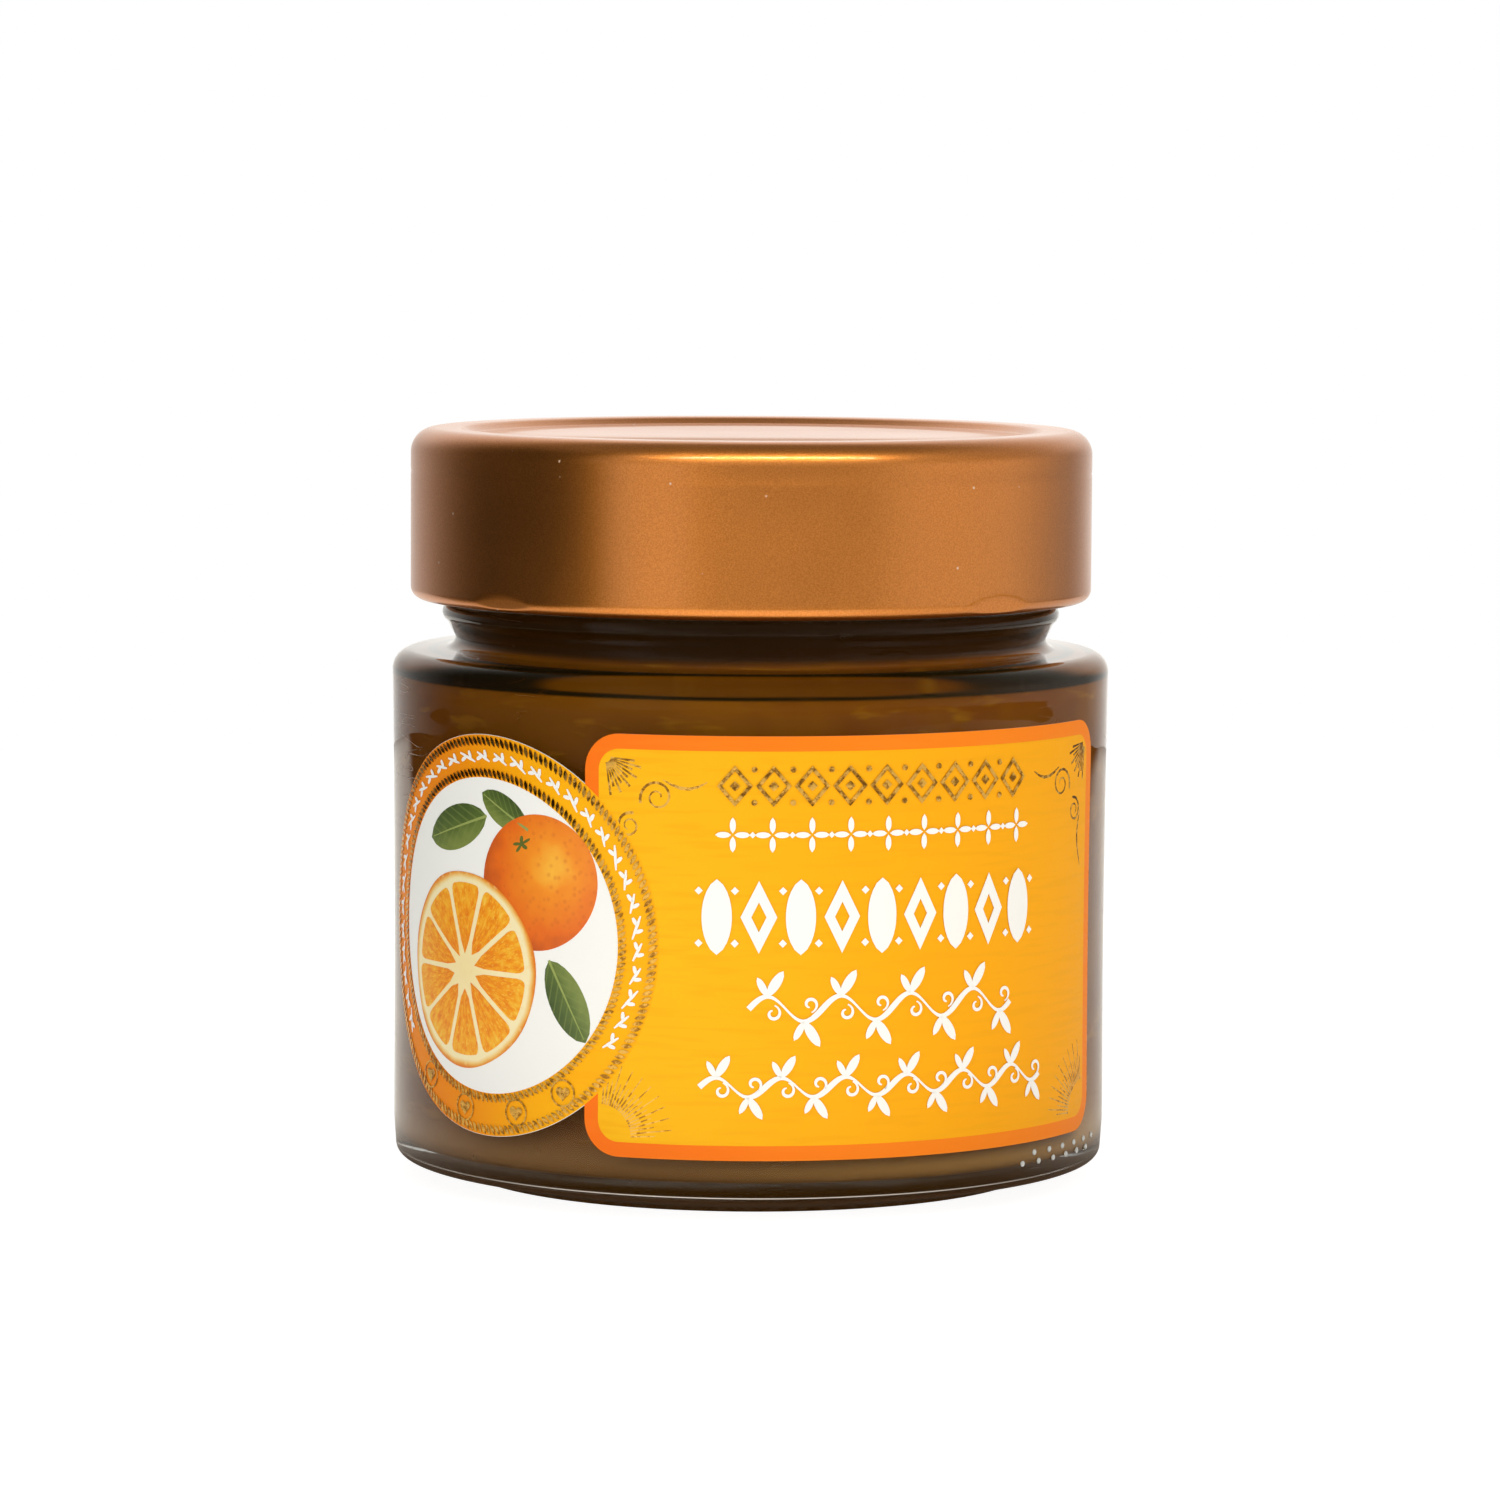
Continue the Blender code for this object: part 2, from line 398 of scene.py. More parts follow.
@dataclass(frozen=True)
class GlassFinish:
    """Clear moulded glass with faint waves, scratches and dust, and painted shade that darkens it at the heel.
    """

    tint: Colour = (0.93, 0.96, 0.945, 1.0)
    dust_tint: Colour = (0.99, 0.99, 0.98, 1.0)
    index: float = 1.52
    shine: Colour = (0.12, 0.12, 0.10, 1.0)
    wave_scale: float = 55.0
    wave_depth: float = 0.00035
    scratch_scale: float = 60.0
    dust_scale: float = 420.0
    heel_painted_shade: Colour = (0.66, 0.58, 0.50, 1.0)
    heel_shade_low: float = 0.0026
    heel_shade_high: float = 0.0031
    name: str = "clear_glass"
    clear: float = 1.0

    def material(self, effects: EffectKit) -> bpy.types.Material:
        """Build the glass material.

        Args:
            effects: The shared effects.

        Returns:
            The material.
        """
        material, sketch, shader = new_material(self.name)
        place = sketch.place()
        scratches = effects.use(sketch, EffectGroup.SCRATCHES, place, self.scratch_scale)
        dust = effects.use(sketch, EffectGroup.DUST, place, self.dust_scale)
        marks = sketch.math("MAXIMUM", scratches, dust)
        height = sketch.add("ShaderNodeSeparateXYZ", Vector=place).outputs["Z"]
        # painted shade: the glass is tinted darker and browner at the heel and under the base
        thick = sketch.remap(height, self.heel_shade_high, self.heel_shade_low)
        clean = sketch.blend(thick, self.tint, self.heel_painted_shade)
        sketch.feed(shader.inputs["Base Color"], sketch.blend(dust, clean, self.dust_tint))
        sketch.feed(shader.inputs["Roughness"], sketch.remap(marks, 0.0, 1.0, 0.012, 0.35))
        waves = sketch.noise(sketch.stretched((1.0, 1.0, 2.6), place), self.wave_scale, 1.0)
        wavy = sketch.bump(waves, 0.25, self.wave_depth)
        scored = sketch.add("ShaderNodeBump", Height=marks, Strength=0.35, Distance=0.00003, Normal=wavy)
        sketch.feed(shader.inputs["Normal"], scored.outputs["Normal"])
        shader.inputs["Transmission Weight"].default_value = self.clear
        shader.inputs["IOR"].default_value = self.index
        shader.inputs["Specular Tint"].default_value = self.shine
        shadow = sketch.add("ShaderNodeLightPath").outputs["Is Shadow Ray"]
        sketch.feed(shader.inputs["Alpha"], sketch.math("SUBTRACT", 1.0, shadow))
        return material


@dataclass(frozen=True)
class MarmaladeFinish:
    """Dark amber jelly: cloudy patches, paler shreds, painted shade under the shoulder and the lid, painted
    light low down, a faint painted glow.
    """

    deep: Colour = paint(88, 42, 1)
    body: Colour = paint(106, 59, 1)
    shred: Colour = paint(136, 88, 8)
    # painted shade: a dark band in the jelly just under the glass's shoulder
    brow_painted_shade: Colour = paint(26, 18, 3)
    # painted light: a faint warm glow that the jelly gives off
    glow: Colour = (0.020, 0.0075, 0.0002, 1.0)
    patch_scale: float = 70.0
    shred_scale: float = 160.0
    # painted shadow: the jelly high up under the lid is darker
    neck_shadow_low: float = 0.0551
    neck_shadow_high: float = 0.0574
    neck_painted_shadow: Colour = paint(33, 12, 1)
    # where the painted shade under the shoulder starts, in height and in radius
    brow_shade_low: float = 0.05345
    brow_shade_radius: float = 0.0334
    # painted light: a paler colour low in the jelly, where the label's shadow falls on it
    paler_tone: Colour = paint(138, 102, 62)
    foot_light_low: float = 0.0050
    foot_light_high: float = 0.0100

    def material(self) -> bpy.types.Material:
        """Build the marmalade material.

        Returns:
            The material.
        """
        material, sketch, shader = new_material("marmalade_jelly")
        place = sketch.place()
        patches = sketch.remap(sketch.noise(place, self.patch_scale, 3.0), 0.35, 0.65)
        long_way = sketch.stretched((1.0, 1.0, 3.5), place)
        shreds = sketch.remap(sketch.noise(long_way, self.shred_scale, 2.0), 0.58, 0.74)
        jelly = sketch.blend(patches, self.deep, self.body)
        mixed = sketch.blend(sketch.scaled(shreds, 0.5), jelly, self.shred)
        parts = sketch.add("ShaderNodeSeparateXYZ", Vector=place)
        # painted shade: a dark band under the shoulder, close to the glass
        over = sketch.remap(parts.outputs["Z"], self.brow_shade_low, self.brow_shade_low + 0.0002)
        flat = sketch.add("ShaderNodeCombineXYZ")
        sketch.feed(flat.inputs[0], parts.outputs["X"])
        sketch.feed(flat.inputs[1], parts.outputs["Y"])
        reach = sketch.length(flat.outputs["Vector"])
        outer = sketch.remap(reach, self.brow_shade_radius, self.brow_shade_radius + 0.0003)
        shade = sketch.scaled(over, outer)
        # painted shadow of the lid: darker jelly in the jar's mouth
        above = sketch.remap(parts.outputs["Z"], self.neck_shadow_low, self.neck_shadow_high)
        # painted light: paler jelly low down, in the label's shadow
        sunk = sketch.remap(parts.outputs["Z"], self.foot_light_high, self.foot_light_low)
        lower = sketch.blend(sketch.scaled(sunk, 0.8), mixed, self.paler_tone)
        shaded = sketch.blend(shade, sketch.blend(above, lower, self.neck_painted_shadow), self.brow_painted_shade)
        # the painted glow is dimmed in the painted shade under the shoulder and under the lid
        dim = sketch.math("MAXIMUM", shade, sketch.scaled(above, 0.6))
        sketch.feed(shader.inputs["Base Color"], shaded)
        sketch.feed(shader.inputs["Roughness"], sketch.remap(patches, 0.0, 1.0, 0.34, 0.5))
        sketch.feed(shader.inputs["Normal"], sketch.bump(shreds, 0.25, 0.0004))
        sketch.feed(shader.inputs["Emission Color"], sketch.blend(dim, self.glow, BLACK))
        shader.inputs["Emission Strength"].default_value = 1.0
        shader.inputs["Specular IOR Level"].default_value = 0.12
        return material


@dataclass(frozen=True)
class LacquerFinish:
    """Satin copper lacquer on tinplate, with a fine metallic grain, dust and hairline scratches."""

    copper: Colour = (0.70, 0.250, 0.044, 1.0)
    copper_deep: Colour = (0.57, 0.180, 0.024, 1.0)
    dust_tint: Colour = (0.86, 0.72, 0.55, 1.0)
    grain_scale: float = 5600.0
    scratch_scale: float = 90.0
    dust_scale: float = 610.0

    def material(self, effects: EffectKit) -> bpy.types.Material:
        """Build the lid's material.

        Args:
            effects: The shared effects.

        Returns:
            The material.
        """
        material, sketch, shader = new_material("copper_lacquer")
        place = sketch.place()
        grain = effects.use(sketch, EffectGroup.SPECKLE, place, self.grain_scale)
        dust = effects.use(sketch, EffectGroup.DUST, place, self.dust_scale)
        scratches = effects.use(sketch, EffectGroup.SCRATCHES, place, self.scratch_scale)
        base = sketch.blend(sketch.remap(grain, 0.38, 0.62), self.copper_deep, self.copper)
        marked = sketch.blend(sketch.scaled(dust, 0.8), base, self.dust_tint)
        sketch.feed(shader.inputs["Base Color"], marked)
        rough = sketch.remap(sketch.noise(place, 45.0, 3.0), 0.3, 0.7, 0.30, 0.38)
        sketch.feed(shader.inputs["Roughness"], sketch.math("ADD", rough, sketch.scaled(dust, 0.4)))
        shader.inputs["Metallic"].default_value = 1.0
        shader.inputs["Coat Weight"].default_value = 0.5
        shader.inputs["Coat Roughness"].default_value = 0.06
        relief = sketch.math("SUBTRACT", grain, sketch.scaled(scratches, 0.8))
        sketch.feed(shader.inputs["Normal"], sketch.bump(relief, 0.32, 0.00003))
        return material


@dataclass(frozen=True)
class InkFinish:
    """A printed field of colour on coated paper, shaded across the jar and lined like laid paper."""

    name: str
    left: Colour
    right: Colour
    lined: Colour
    line_share: float = 0.0
    roughness: float = 0.42
    coat: float = 0.02
    line_pitch: float = 0.0007
    start: float = -0.036
    end: float = 0.036

    def material(self) -> bpy.types.Material:
        """Build the ink's material.

        Returns:
            The material.
        """
        material, sketch, shader = new_material(self.name)
        place = sketch.place()
        across = sketch.add("ShaderNodeSeparateXYZ", Vector=place).outputs["X"]
        sweep = sketch.remap(across, self.start, self.end)
        cloudy = sketch.wander(sweep, sketch.noise(place, 38.0, 3.0), 0.5)
        base = sketch.blend(cloudy, self.left, self.right)
        lines_at = sketch.stretched((0.09, 0.09, 1.0), place)
        lines = sketch.noise(lines_at, 1.0 / self.line_pitch, 2.0)
        streaks = sketch.scaled(sketch.remap(lines, 0.48, 0.66), self.line_share)
        fibres = sketch.noise(place, 2600.0, 2.0)
        sketch.feed(shader.inputs["Base Color"], sketch.blend(streaks, base, self.lined))
        rough = sketch.remap(fibres, 0.3, 0.7, self.roughness - 0.06, self.roughness + 0.08)
        sketch.feed(shader.inputs["Roughness"], rough)
        relief = sketch.math("ADD", sketch.scaled(lines, self.line_share), sketch.scaled(fibres, 0.4))
        sketch.feed(shader.inputs["Normal"], sketch.bump(relief, 0.25, 0.00004))
        shader.inputs["Coat Weight"].default_value = self.coat
        shader.inputs["Coat Roughness"].default_value = 0.2
        shader.inputs["Specular IOR Level"].default_value = 0.12
        return material


@dataclass(frozen=True)
class FoilFinish:
    """Stamped gold foil, its colour brighter and duller in patches as a painted sheen where it catches the
    light unevenly.
    """

    bright: Colour = (0.80, 0.45, 0.09, 1.0)
    dull: Colour = (0.34, 0.15, 0.02, 1.0)

    def material(self) -> bpy.types.Material:
        """Build the foil's material.

        Returns:
            The material.
        """
        material, sketch, shader = new_material("gold_foil")
        place = sketch.place()
        crumple = sketch.noise(place, 1500.0, 2.0)
        # painted sheen: the foil's colour swings between bright and dull in patches
        shine = sketch.blend(sketch.remap(crumple, 0.35, 0.6), self.dull, self.bright)
        sketch.feed(shader.inputs["Base Color"], shine)
        sketch.feed(shader.inputs["Roughness"], sketch.remap(crumple, 0.3, 0.7, 0.16, 0.34))
        sketch.feed(shader.inputs["Normal"], sketch.bump(crumple, 0.5, 0.0001))
        shader.inputs["Metallic"].default_value = 1.0
        return material


class Pattern(Enum):
    """How a printed picture colour is shaded across its shape."""

    PULP = "pulp"
    RIND = "rind"
    PEEL = "peel"
    LEAF = "leaf"


@dataclass(frozen=True)
class PictureFinish:
    """A printed picture colour that reads the shape's own UV map, from -1 to 1 across the shape."""

    name: str
    pattern: Pattern
    stops: tuple[tuple[float, Colour], ...]
    grain: Colour
    grain_share: float

    def _tones(self, sketch: NodeSketch) -> tuple[Socket, Socket]:
        """Lay out the pattern.

        Args:
            sketch: The material's sketch.

        Returns:
            The tone along the colour stops and the grain, each from 0 to 1.
        """
        across = sketch.add("ShaderNodeUVMap", uv_map="print").outputs["UV"]
        parts = sketch.add("ShaderNodeSeparateXYZ", Vector=across)
        first, second = parts.outputs["X"], parts.outputs["Y"]
        radius = sketch.length(across)
        mottle = sketch.noise(across, 3.4, 3.0)
        if self.pattern is Pattern.PULP:
            turn = sketch.math("ARCTAN2", second, first)
            polar = sketch.add("ShaderNodeCombineXYZ")
            sketch.feed(polar.inputs[0], sketch.scaled(turn, 7.5))
            sketch.feed(polar.inputs[1], sketch.scaled(radius, 4.2))
            sacs = sketch.noise(polar.outputs["Vector"], 1.9, 3.0)
            fine = sketch.noise(polar.outputs["Vector"], 5.2, 2.0)
            tone = sketch.math("ADD", sketch.scaled(sacs, 0.75), sketch.scaled(radius, 0.22))
            return tone, sketch.remap(fine, 0.52, 0.72)
        if self.pattern is Pattern.RIND:
            tone = sketch.wander(radius, mottle, 0.06)
            return tone, sketch.remap(sketch.noise(across, 14.0, 2.0), 0.55, 0.75)
        if self.pattern is Pattern.PEEL:
            lamp = sketch.add("ShaderNodeVectorMath", operation="DISTANCE")
            sketch.feed(lamp.inputs[0], across)
            lamp.inputs[1].default_value = (0.28, 0.22, 0.0)
            tone = sketch.wander(lamp.outputs["Value"], mottle, 0.5)
            pores = sketch.add("ShaderNodeTexVoronoi", Vector=across, Scale=9.0)
            return sketch.scaled(tone, 0.72), sketch.remap(pores.outputs["Distance"], 0.42, 0.12)
        side = sketch.remap(second, -0.5, 0.5, 0.12, 0.88)
        slant = sketch.scaled(sketch.math("ABSOLUTE", second), 30.0)
        veins = sketch.math("SUBTRACT", sketch.scaled(first, 24.0), slant)
        return sketch.wander(side, mottle, 0.5), sketch.remap(sketch.math("SINE", veins), 0.55, 1.0)

    def material(self) -> bpy.types.Material:
        """Build the picture colour's material.

        Returns:
            The material.
        """
        material, sketch, shader = new_material(self.name)
        tone, grain = self._tones(sketch)
        share = sketch.scaled(grain, self.grain_share)
        toned = sketch.ramp(tone, self.stops)
        sketch.feed(shader.inputs["Base Color"], sketch.blend(share, toned, self.grain))
        sketch.feed(shader.inputs["Roughness"], sketch.remap(grain, 0.0, 1.0, 0.36, 0.46))
        sketch.feed(shader.inputs["Normal"], sketch.bump(grain, 0.1, 0.00002))
        shader.inputs["Coat Weight"].default_value = 0.12
        shader.inputs["Coat Roughness"].default_value = 0.2
        return material


def finish_piece(name: str, bm: bmesh.types.BMesh, material: bpy.types.Material,
                 node: str | None = None, sharp: float = 35.0) -> bpy.types.Object:
    """Turn a bmesh into a finished piece that rides on the jar's body.

    Args:
        name: The piece's name.
        bm: The finished mesh, freed here.
        material: Its material.
        node: The CAD node that it stands for.
        sharp: Edges at more than this angle in degrees stay crisp.

    Returns:
        The new object.
    """
    mesh = bpy.data.meshes.new(name)
    bm.to_mesh(mesh)
    bm.free()
    mesh.materials.append(material)
    mesh.shade_smooth()
    mesh.set_sharp_from_angle(angle=math.radians(sharp))
    piece = bpy.data.objects.new(name, mesh)
    bpy.context.scene.collection.objects.link(piece)
    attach(piece, "root")
    if node:
        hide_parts(node)
    LOG.info("%s: %d faces", name, len(mesh.polygons))
    return piece


def spin_profile(points: list[Point], steps: int) -> bmesh.types.BMesh:
    """Turn a profile about the jar's axis.

    Args:
        points: Radius and height of each point.
        steps: Number of facets round the axis.

    Returns:
        The closed mesh with its faces pointing out.
    """
    bm = bmesh.new()
    verts = [bm.verts.new((radius, 0.0, height)) for radius, height in points]
    edges = [bm.edges.new(pair) for pair in zip(verts, verts[1:])]
    bmesh.ops.spin(bm, geom=verts + edges, cent=(0.0, 0.0, 0.0), axis=(0.0, 0.0, 1.0),
                   angle=2.0 * math.pi, steps=steps, use_merge=True)
    bmesh.ops.remove_doubles(bm, verts=bm.verts, dist=MERGE)
    bmesh.ops.recalc_face_normals(bm, faces=bm.faces)
    return bm


@dataclass
class GlassJar:
    """The clear jar: rim, bead, flat shoulder, slightly hollow panel, heel, knurled foot and push-up base."""

    panel_radius: float = 0.03830
    shoulder_swell: float = 0.00017
    heel_swell: float = 0.00005
    waist_height: float = 0.0240
    shoulder_reach: float = 0.026
    heel_reach: float = 0.014
    panel_top: float = 0.0526
    panel_step: float = 0.0026
    panel_rows: int = 19
    shoulder_tangent: float = 0.0541
    shoulder_corner: float = 0.0022
    shoulder_drop: float = 0.0002
    neck_radius: float = 0.0318
    neck_fillet: float = 0.0012
    bead_round: float = 0.0010
    bead_height: float = 0.0603
    bead_reach: float = 0.0332
    finish_radius: float = 0.0330
    finish_bottom: float = 0.0618
    rim_round: float = 0.0011
    heel_radius: float = 0.03815
    heel_round: float = 0.0012
    heel_height: float = 0.0029
    foot_slope: tuple[Point, ...] = ((0.0358, 0.00140), (0.0345, 0.00105), (0.0336, 0.00085),
                                     (0.0329, 0.00068), (0.0322, 0.00050), (0.0316, 0.00030),
                                     (0.0312, 0.00012))
    foot_outer: float = 0.0309
    foot_inner: float = 0.0293
    push_up: tuple[Point, ...] = ((0.0289, 0.00025), (0.0283, 0.00085), (0.0278, 0.0014), (0.0200, 0.0020),
                                  (0.0, 0.0022))
    wall: float = 0.0027
    floor_centre: float = 0.0045
    floor_edge: float = 0.0039
    floor_round: float = 0.0018
    inner_tangent: float = 0.0515
    inner_round: float = 0.0022
    bore_radius: float = 0.0295
    bore_fillet: float = 0.0015
    bore_top: float = 0.0740
    facets: int = 576
    knurls: int = 72
    knurl_depth: float = 0.00022
    knurl_low: float = 0.00012
    knurl_high: float = 0.00085
    wrap_radius: float = 0.03835
    dot_radius: float = 0.00032
    dot_sink: float = 0.00002
    dot_rows: tuple[Point, ...] = ((51.5, 0.0053), (48.5, 0.0043))
    dot_count: int = 6
    dot_step: float = 4.2

    def __post_init__(self) -> None:
        """Take the shoulder's radius and the rim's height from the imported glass."""
        low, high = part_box("glass_jar")
        self.shoulder_radius = 0.5 * (high.x - low.x)
        self.rim_top = high.z

    def body_radius(self, height: float) -> float:
        """Work out the outside radius of the label panel, which swells from its waist both ways.

        Args:
            height: Height above the base.

        Returns:
            The radius.
        """
        if height > self.waist_height:
            reach = (height - self.waist_height) / self.shoulder_reach
            return min(self.panel_radius + self.shoulder_swell * reach * reach, self.shoulder_radius)
        reach = (self.waist_height - height) / self.heel_reach
        return self.panel_radius + min(self.heel_swell * reach * reach, self.heel_swell)

    def outside(self) -> list[Point]:
        """Draw the outside profile.

        Returns:
            Its points from under the rim to the centre of the base.
        """
        shoulder_top = self.shoulder_tangent + self.shoulder_corner
        fillet = (self.neck_radius + self.neck_fillet, shoulder_top + self.shoulder_drop + self.neck_fillet)
        bead = self.bead_reach - self.bead_round
        corner = self.shoulder_radius - self.shoulder_corner
        heel = self.heel_radius - self.heel_round
        points = [(self.finish_radius, self.finish_bottom)]
        points += arc(bead, self.bead_height, self.bead_round, 62.0, -62.0, 12)
        points += arc(*fillet, self.neck_fillet, 180.0, 270.0, 8)
        points += arc(corner, self.shoulder_tangent, self.shoulder_corner, 90.0, 0.0, 12)
        panel = [self.panel_top - self.panel_step * step for step in range(self.panel_rows)]
        points += [(self.body_radius(height), height) for height in panel]
        points += arc(heel, self.heel_height, self.heel_round, 0.0, -80.0, 9)
        points += [*self.foot_slope, (self.foot_outer, 0.0), (self.foot_inner, 0.0), *self.push_up]
        return points

    def cavity(self, grown: float, top: float) -> list[Point]:
        """Return the inside profile from the centre of the floor up.

        Args:
            grown: How far the profile is moved out into the wall.
            top: Height of its last point in the bore.

        Returns:
            The profile's points.
        """
        wall_radius = self.wrap_radius - self.wall + grown
        bore = self.bore_radius + grown
        shoulder_top = self.inner_tangent + self.inner_round + grown
        points = [(0.0, self.floor_centre - grown), (0.018, self.floor_centre - grown - 0.0001)]
        points += arc(wall_radius - self.floor_round, self.floor_edge - grown + self.floor_round,
                      self.floor_round, -90.0, 0.0, 10)
        points += arc(wall_radius - self.inner_round, shoulder_top - self.inner_round, self.inner_round,
                      0.0, 90.0, 10)
        fillet = self.bore_fillet
        points += arc(bore + fillet, shoulder_top + fillet, fillet, 270.0, 180.0, 6)
        points += [(bore, top)]
        return points

    def _knurl(self, bm: bmesh.types.BMesh) -> None:
        """Press the row of small crescents into the slope above the standing ring.

        Args:
            bm: The glass.
        """
        middle = 0.5 * (self.knurl_low + self.knurl_high)
        half = 0.5 * (self.knurl_high - self.knurl_low)
        for vert in bm.verts:
            radius = math.hypot(vert.co.x, vert.co.y)
            if radius < self.foot_outer or not self.knurl_low < vert.co.z < self.knurl_high:
                continue
            turn = math.atan2(vert.co.x, -vert.co.y) * self.knurls / (2.0 * math.pi)
            along = (turn - math.floor(turn)) * 2.0 - 1.0
            across = (vert.co.z - middle) / half
            depth = self.knurl_depth * max(0.0, 1.0 - along * along * 1.3 - across * across)
            vert.co.x *= 1.0 - depth / radius
            vert.co.y *= 1.0 - depth / radius
            vert.co.z += 0.6 * depth

    def build_mould_dots(self, material: bpy.types.Material) -> bpy.types.Object:
        """Build the two rows of small raised mould dots low on the right of the glass.

        Args:
            material: The dots' milky glass.

        Returns:
            The dots as one piece.
        """
        bm = bmesh.new()
        for first, height in self.dot_rows:
            for index in range(self.dot_count):
                azimuth = first + self.dot_step * index
                place = around(azimuth, self.body_radius(height) + self.dot_sink, height)
                turn = Matrix.Rotation(math.radians(azimuth), 3, "Z")
                new = bmesh.ops.create_uvsphere(bm, u_segments=12, v_segments=8, radius=self.dot_radius)
                bmesh.ops.scale(bm, vec=(1.0, 0.5, 1.0), verts=new["verts"])
                bmesh.ops.rotate(bm, cent=(0.0, 0.0, 0.0), matrix=turn, verts=new["verts"])
                bmesh.ops.translate(bm, vec=place, verts=new["verts"])
        return finish_piece("jar_mould_dots", bm, material)

    def build(self, finish: GlassFinish, effects: EffectKit) -> bpy.types.Object:
        """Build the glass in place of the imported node.

        Args:
            finish: The glass finish.
            effects: The shared effects.

        Returns:
            The glass piece.
        """
        rim = self.finish_radius - self.rim_round
        profile = self.cavity(0.0, self.bore_top)
        profile += arc(rim, self.rim_top - self.rim_round, self.rim_round, 180.0, 0.0, 10)
        profile += self.outside()
        bm = spin_profile(profile, self.facets)
        self._knurl(bm)
        paler_tone = GlassFinish(name="milky_glass", clear=0.45)
        self.build_mould_dots(paler_tone.material(effects))
        return finish_piece("jar_glass", bm, finish.material(effects), "glass_jar", 50.0)


@dataclass
class Marmalade:
    """The set marmalade, which reaches just into the glass."""

    jar: GlassJar
    reach: float = 0.00012
    facets: int = 256

    def build(self, finish: MarmaladeFinish) -> bpy.types.Object:
        """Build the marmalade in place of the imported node.

        Args:
            finish: The jelly finish.

        Returns:
            The marmalade piece.
        """
        fill_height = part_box("marmalade")[1].z
        profile = self.jar.cavity(self.reach, fill_height)
        profile += [(0.6 * self.jar.bore_radius, fill_height - 0.0002), (0.0, fill_height - 0.0002)]
        bm = spin_profile(profile, self.facets)
        return finish_piece("marmalade_fill", bm, finish.material(), "marmalade")


@dataclass
class Lid:
    """The copper cap: sunk panel, ledge, rounded corner, faintly grooved skirt, curl and four lug flats."""

    sheet: float = 0.0005
    corner: float = 0.0026
    ledge_inner: float = 0.0312
    panel_slope: float = 0.0300
    panel_depth: float = 0.0008
    curl_round: float = 0.00125
    groove_height: float = 0.0754
    groove_depth: float = 0.00004
    groove_half: float = 0.0004
    panel_foot: tuple[Point, ...] = ((-0.0005, 0.0), (-0.0001, 0.00004), (0.0002, 0.00016))
    ledge_edge: tuple[Point, ...] = ((-0.0004, 0.00024), (-0.0001, 0.00008), (0.0003, 0.00001))
    skirt_rows: tuple[float, ...] = (0.0710, 0.0670, 0.0645, 0.0639, 0.0635)
    curl_top: float = 0.0644
    lug_azimuths: tuple[float, ...] = (45.0, 135.0, 225.0, 315.0)
    lug_top: float = 0.0637
    lug_tilt: float = math.radians(15.0)
    lug_blend: float = 0.00004
    facets: int = 480

    def __post_init__(self) -> None:
        """Take the lid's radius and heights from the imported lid."""
        low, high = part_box("lid")
        self.radius = 0.5 * (high.x - low.x)
        self.top = high.z
        self.bottom = low.z

    def _profile(self) -> list[Point]:
        """Draw the sheet's closed profile.

        Returns:
            Its points, from the centre of the top round to the centre underneath.
        """
        panel = self.top - self.panel_depth
        centre = (self.radius - self.corner, self.top - self.corner)
        curl = (self.radius - self.curl_round, self.bottom + self.curl_round)
        under = panel - self.sheet
        points = [(0.0, panel)]
        points += [(self.panel_slope + out, panel + up) for out, up in self.panel_foot]
        points += [(self.ledge_inner + out, self.top - down) for out, down in self.ledge_edge]
        points += arc(*centre, self.corner, 90.0, 0.0, 16)
        points += [(self.radius, self.groove_height + self.groove_half)]
        points += [(self.radius - self.groove_depth, self.groove_height)]
        points += [(self.radius, self.groove_height - self.groove_half)]
        points += [(self.radius, height) for height in self.skirt_rows]
        points += arc(*curl, self.curl_round, 0.0, -180.0, 20)
        points += [(curl[0] - 0.0009, self.curl_top - 0.0003), (curl[0], self.curl_top)]
        points += [(self.radius - self.sheet, self.curl_top)]
        points += arc(*centre, self.corner - self.sheet, 0.0, 90.0, 8)
        points += [(self.ledge_inner, self.top - self.sheet), (self.panel_slope, under), (0.0, under)]
        return points

    def _press_lugs(self, bm: bmesh.types.BMesh) -> None:
        """Flatten the lower edge over each lug, along a plane that leans in towards the bottom.

        Args:
            bm: The lid.
        """
        lean, soft = math.tan(self.lug_tilt), self.lug_blend
        for azimuth in self.lug_azimuths:
            outward = around(azimuth, 1.0, 0.0)
            for vert in bm.verts:
                if vert.co.z > self.lug_top:
                    continue
                reach = vert.co.x * outward.x + vert.co.y * outward.y
                limit = self.radius - (self.lug_top - vert.co.z) * lean
                over = reach - limit
                if reach > 0.0 and over > -soft:
                    pushed = over if over > soft else (over + soft) ** 2 / (4.0 * soft)
                    vert.co.x -= outward.x * pushed
                    vert.co.y -= outward.y * pushed

    def build(self, finish: LacquerFinish, effects: EffectKit) -> bpy.types.Object:
        """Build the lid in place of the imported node.

        Args:
            finish: The lacquer finish.
            effects: The shared effects.

        Returns:
            The lid piece.
        """
        bm = spin_profile(self._profile(), self.facets)
        self._press_lugs(bm)
        return finish_piece("lid_shell", bm, finish.material(effects), "lid", 40.0)


Shape = Callable[[float], float]


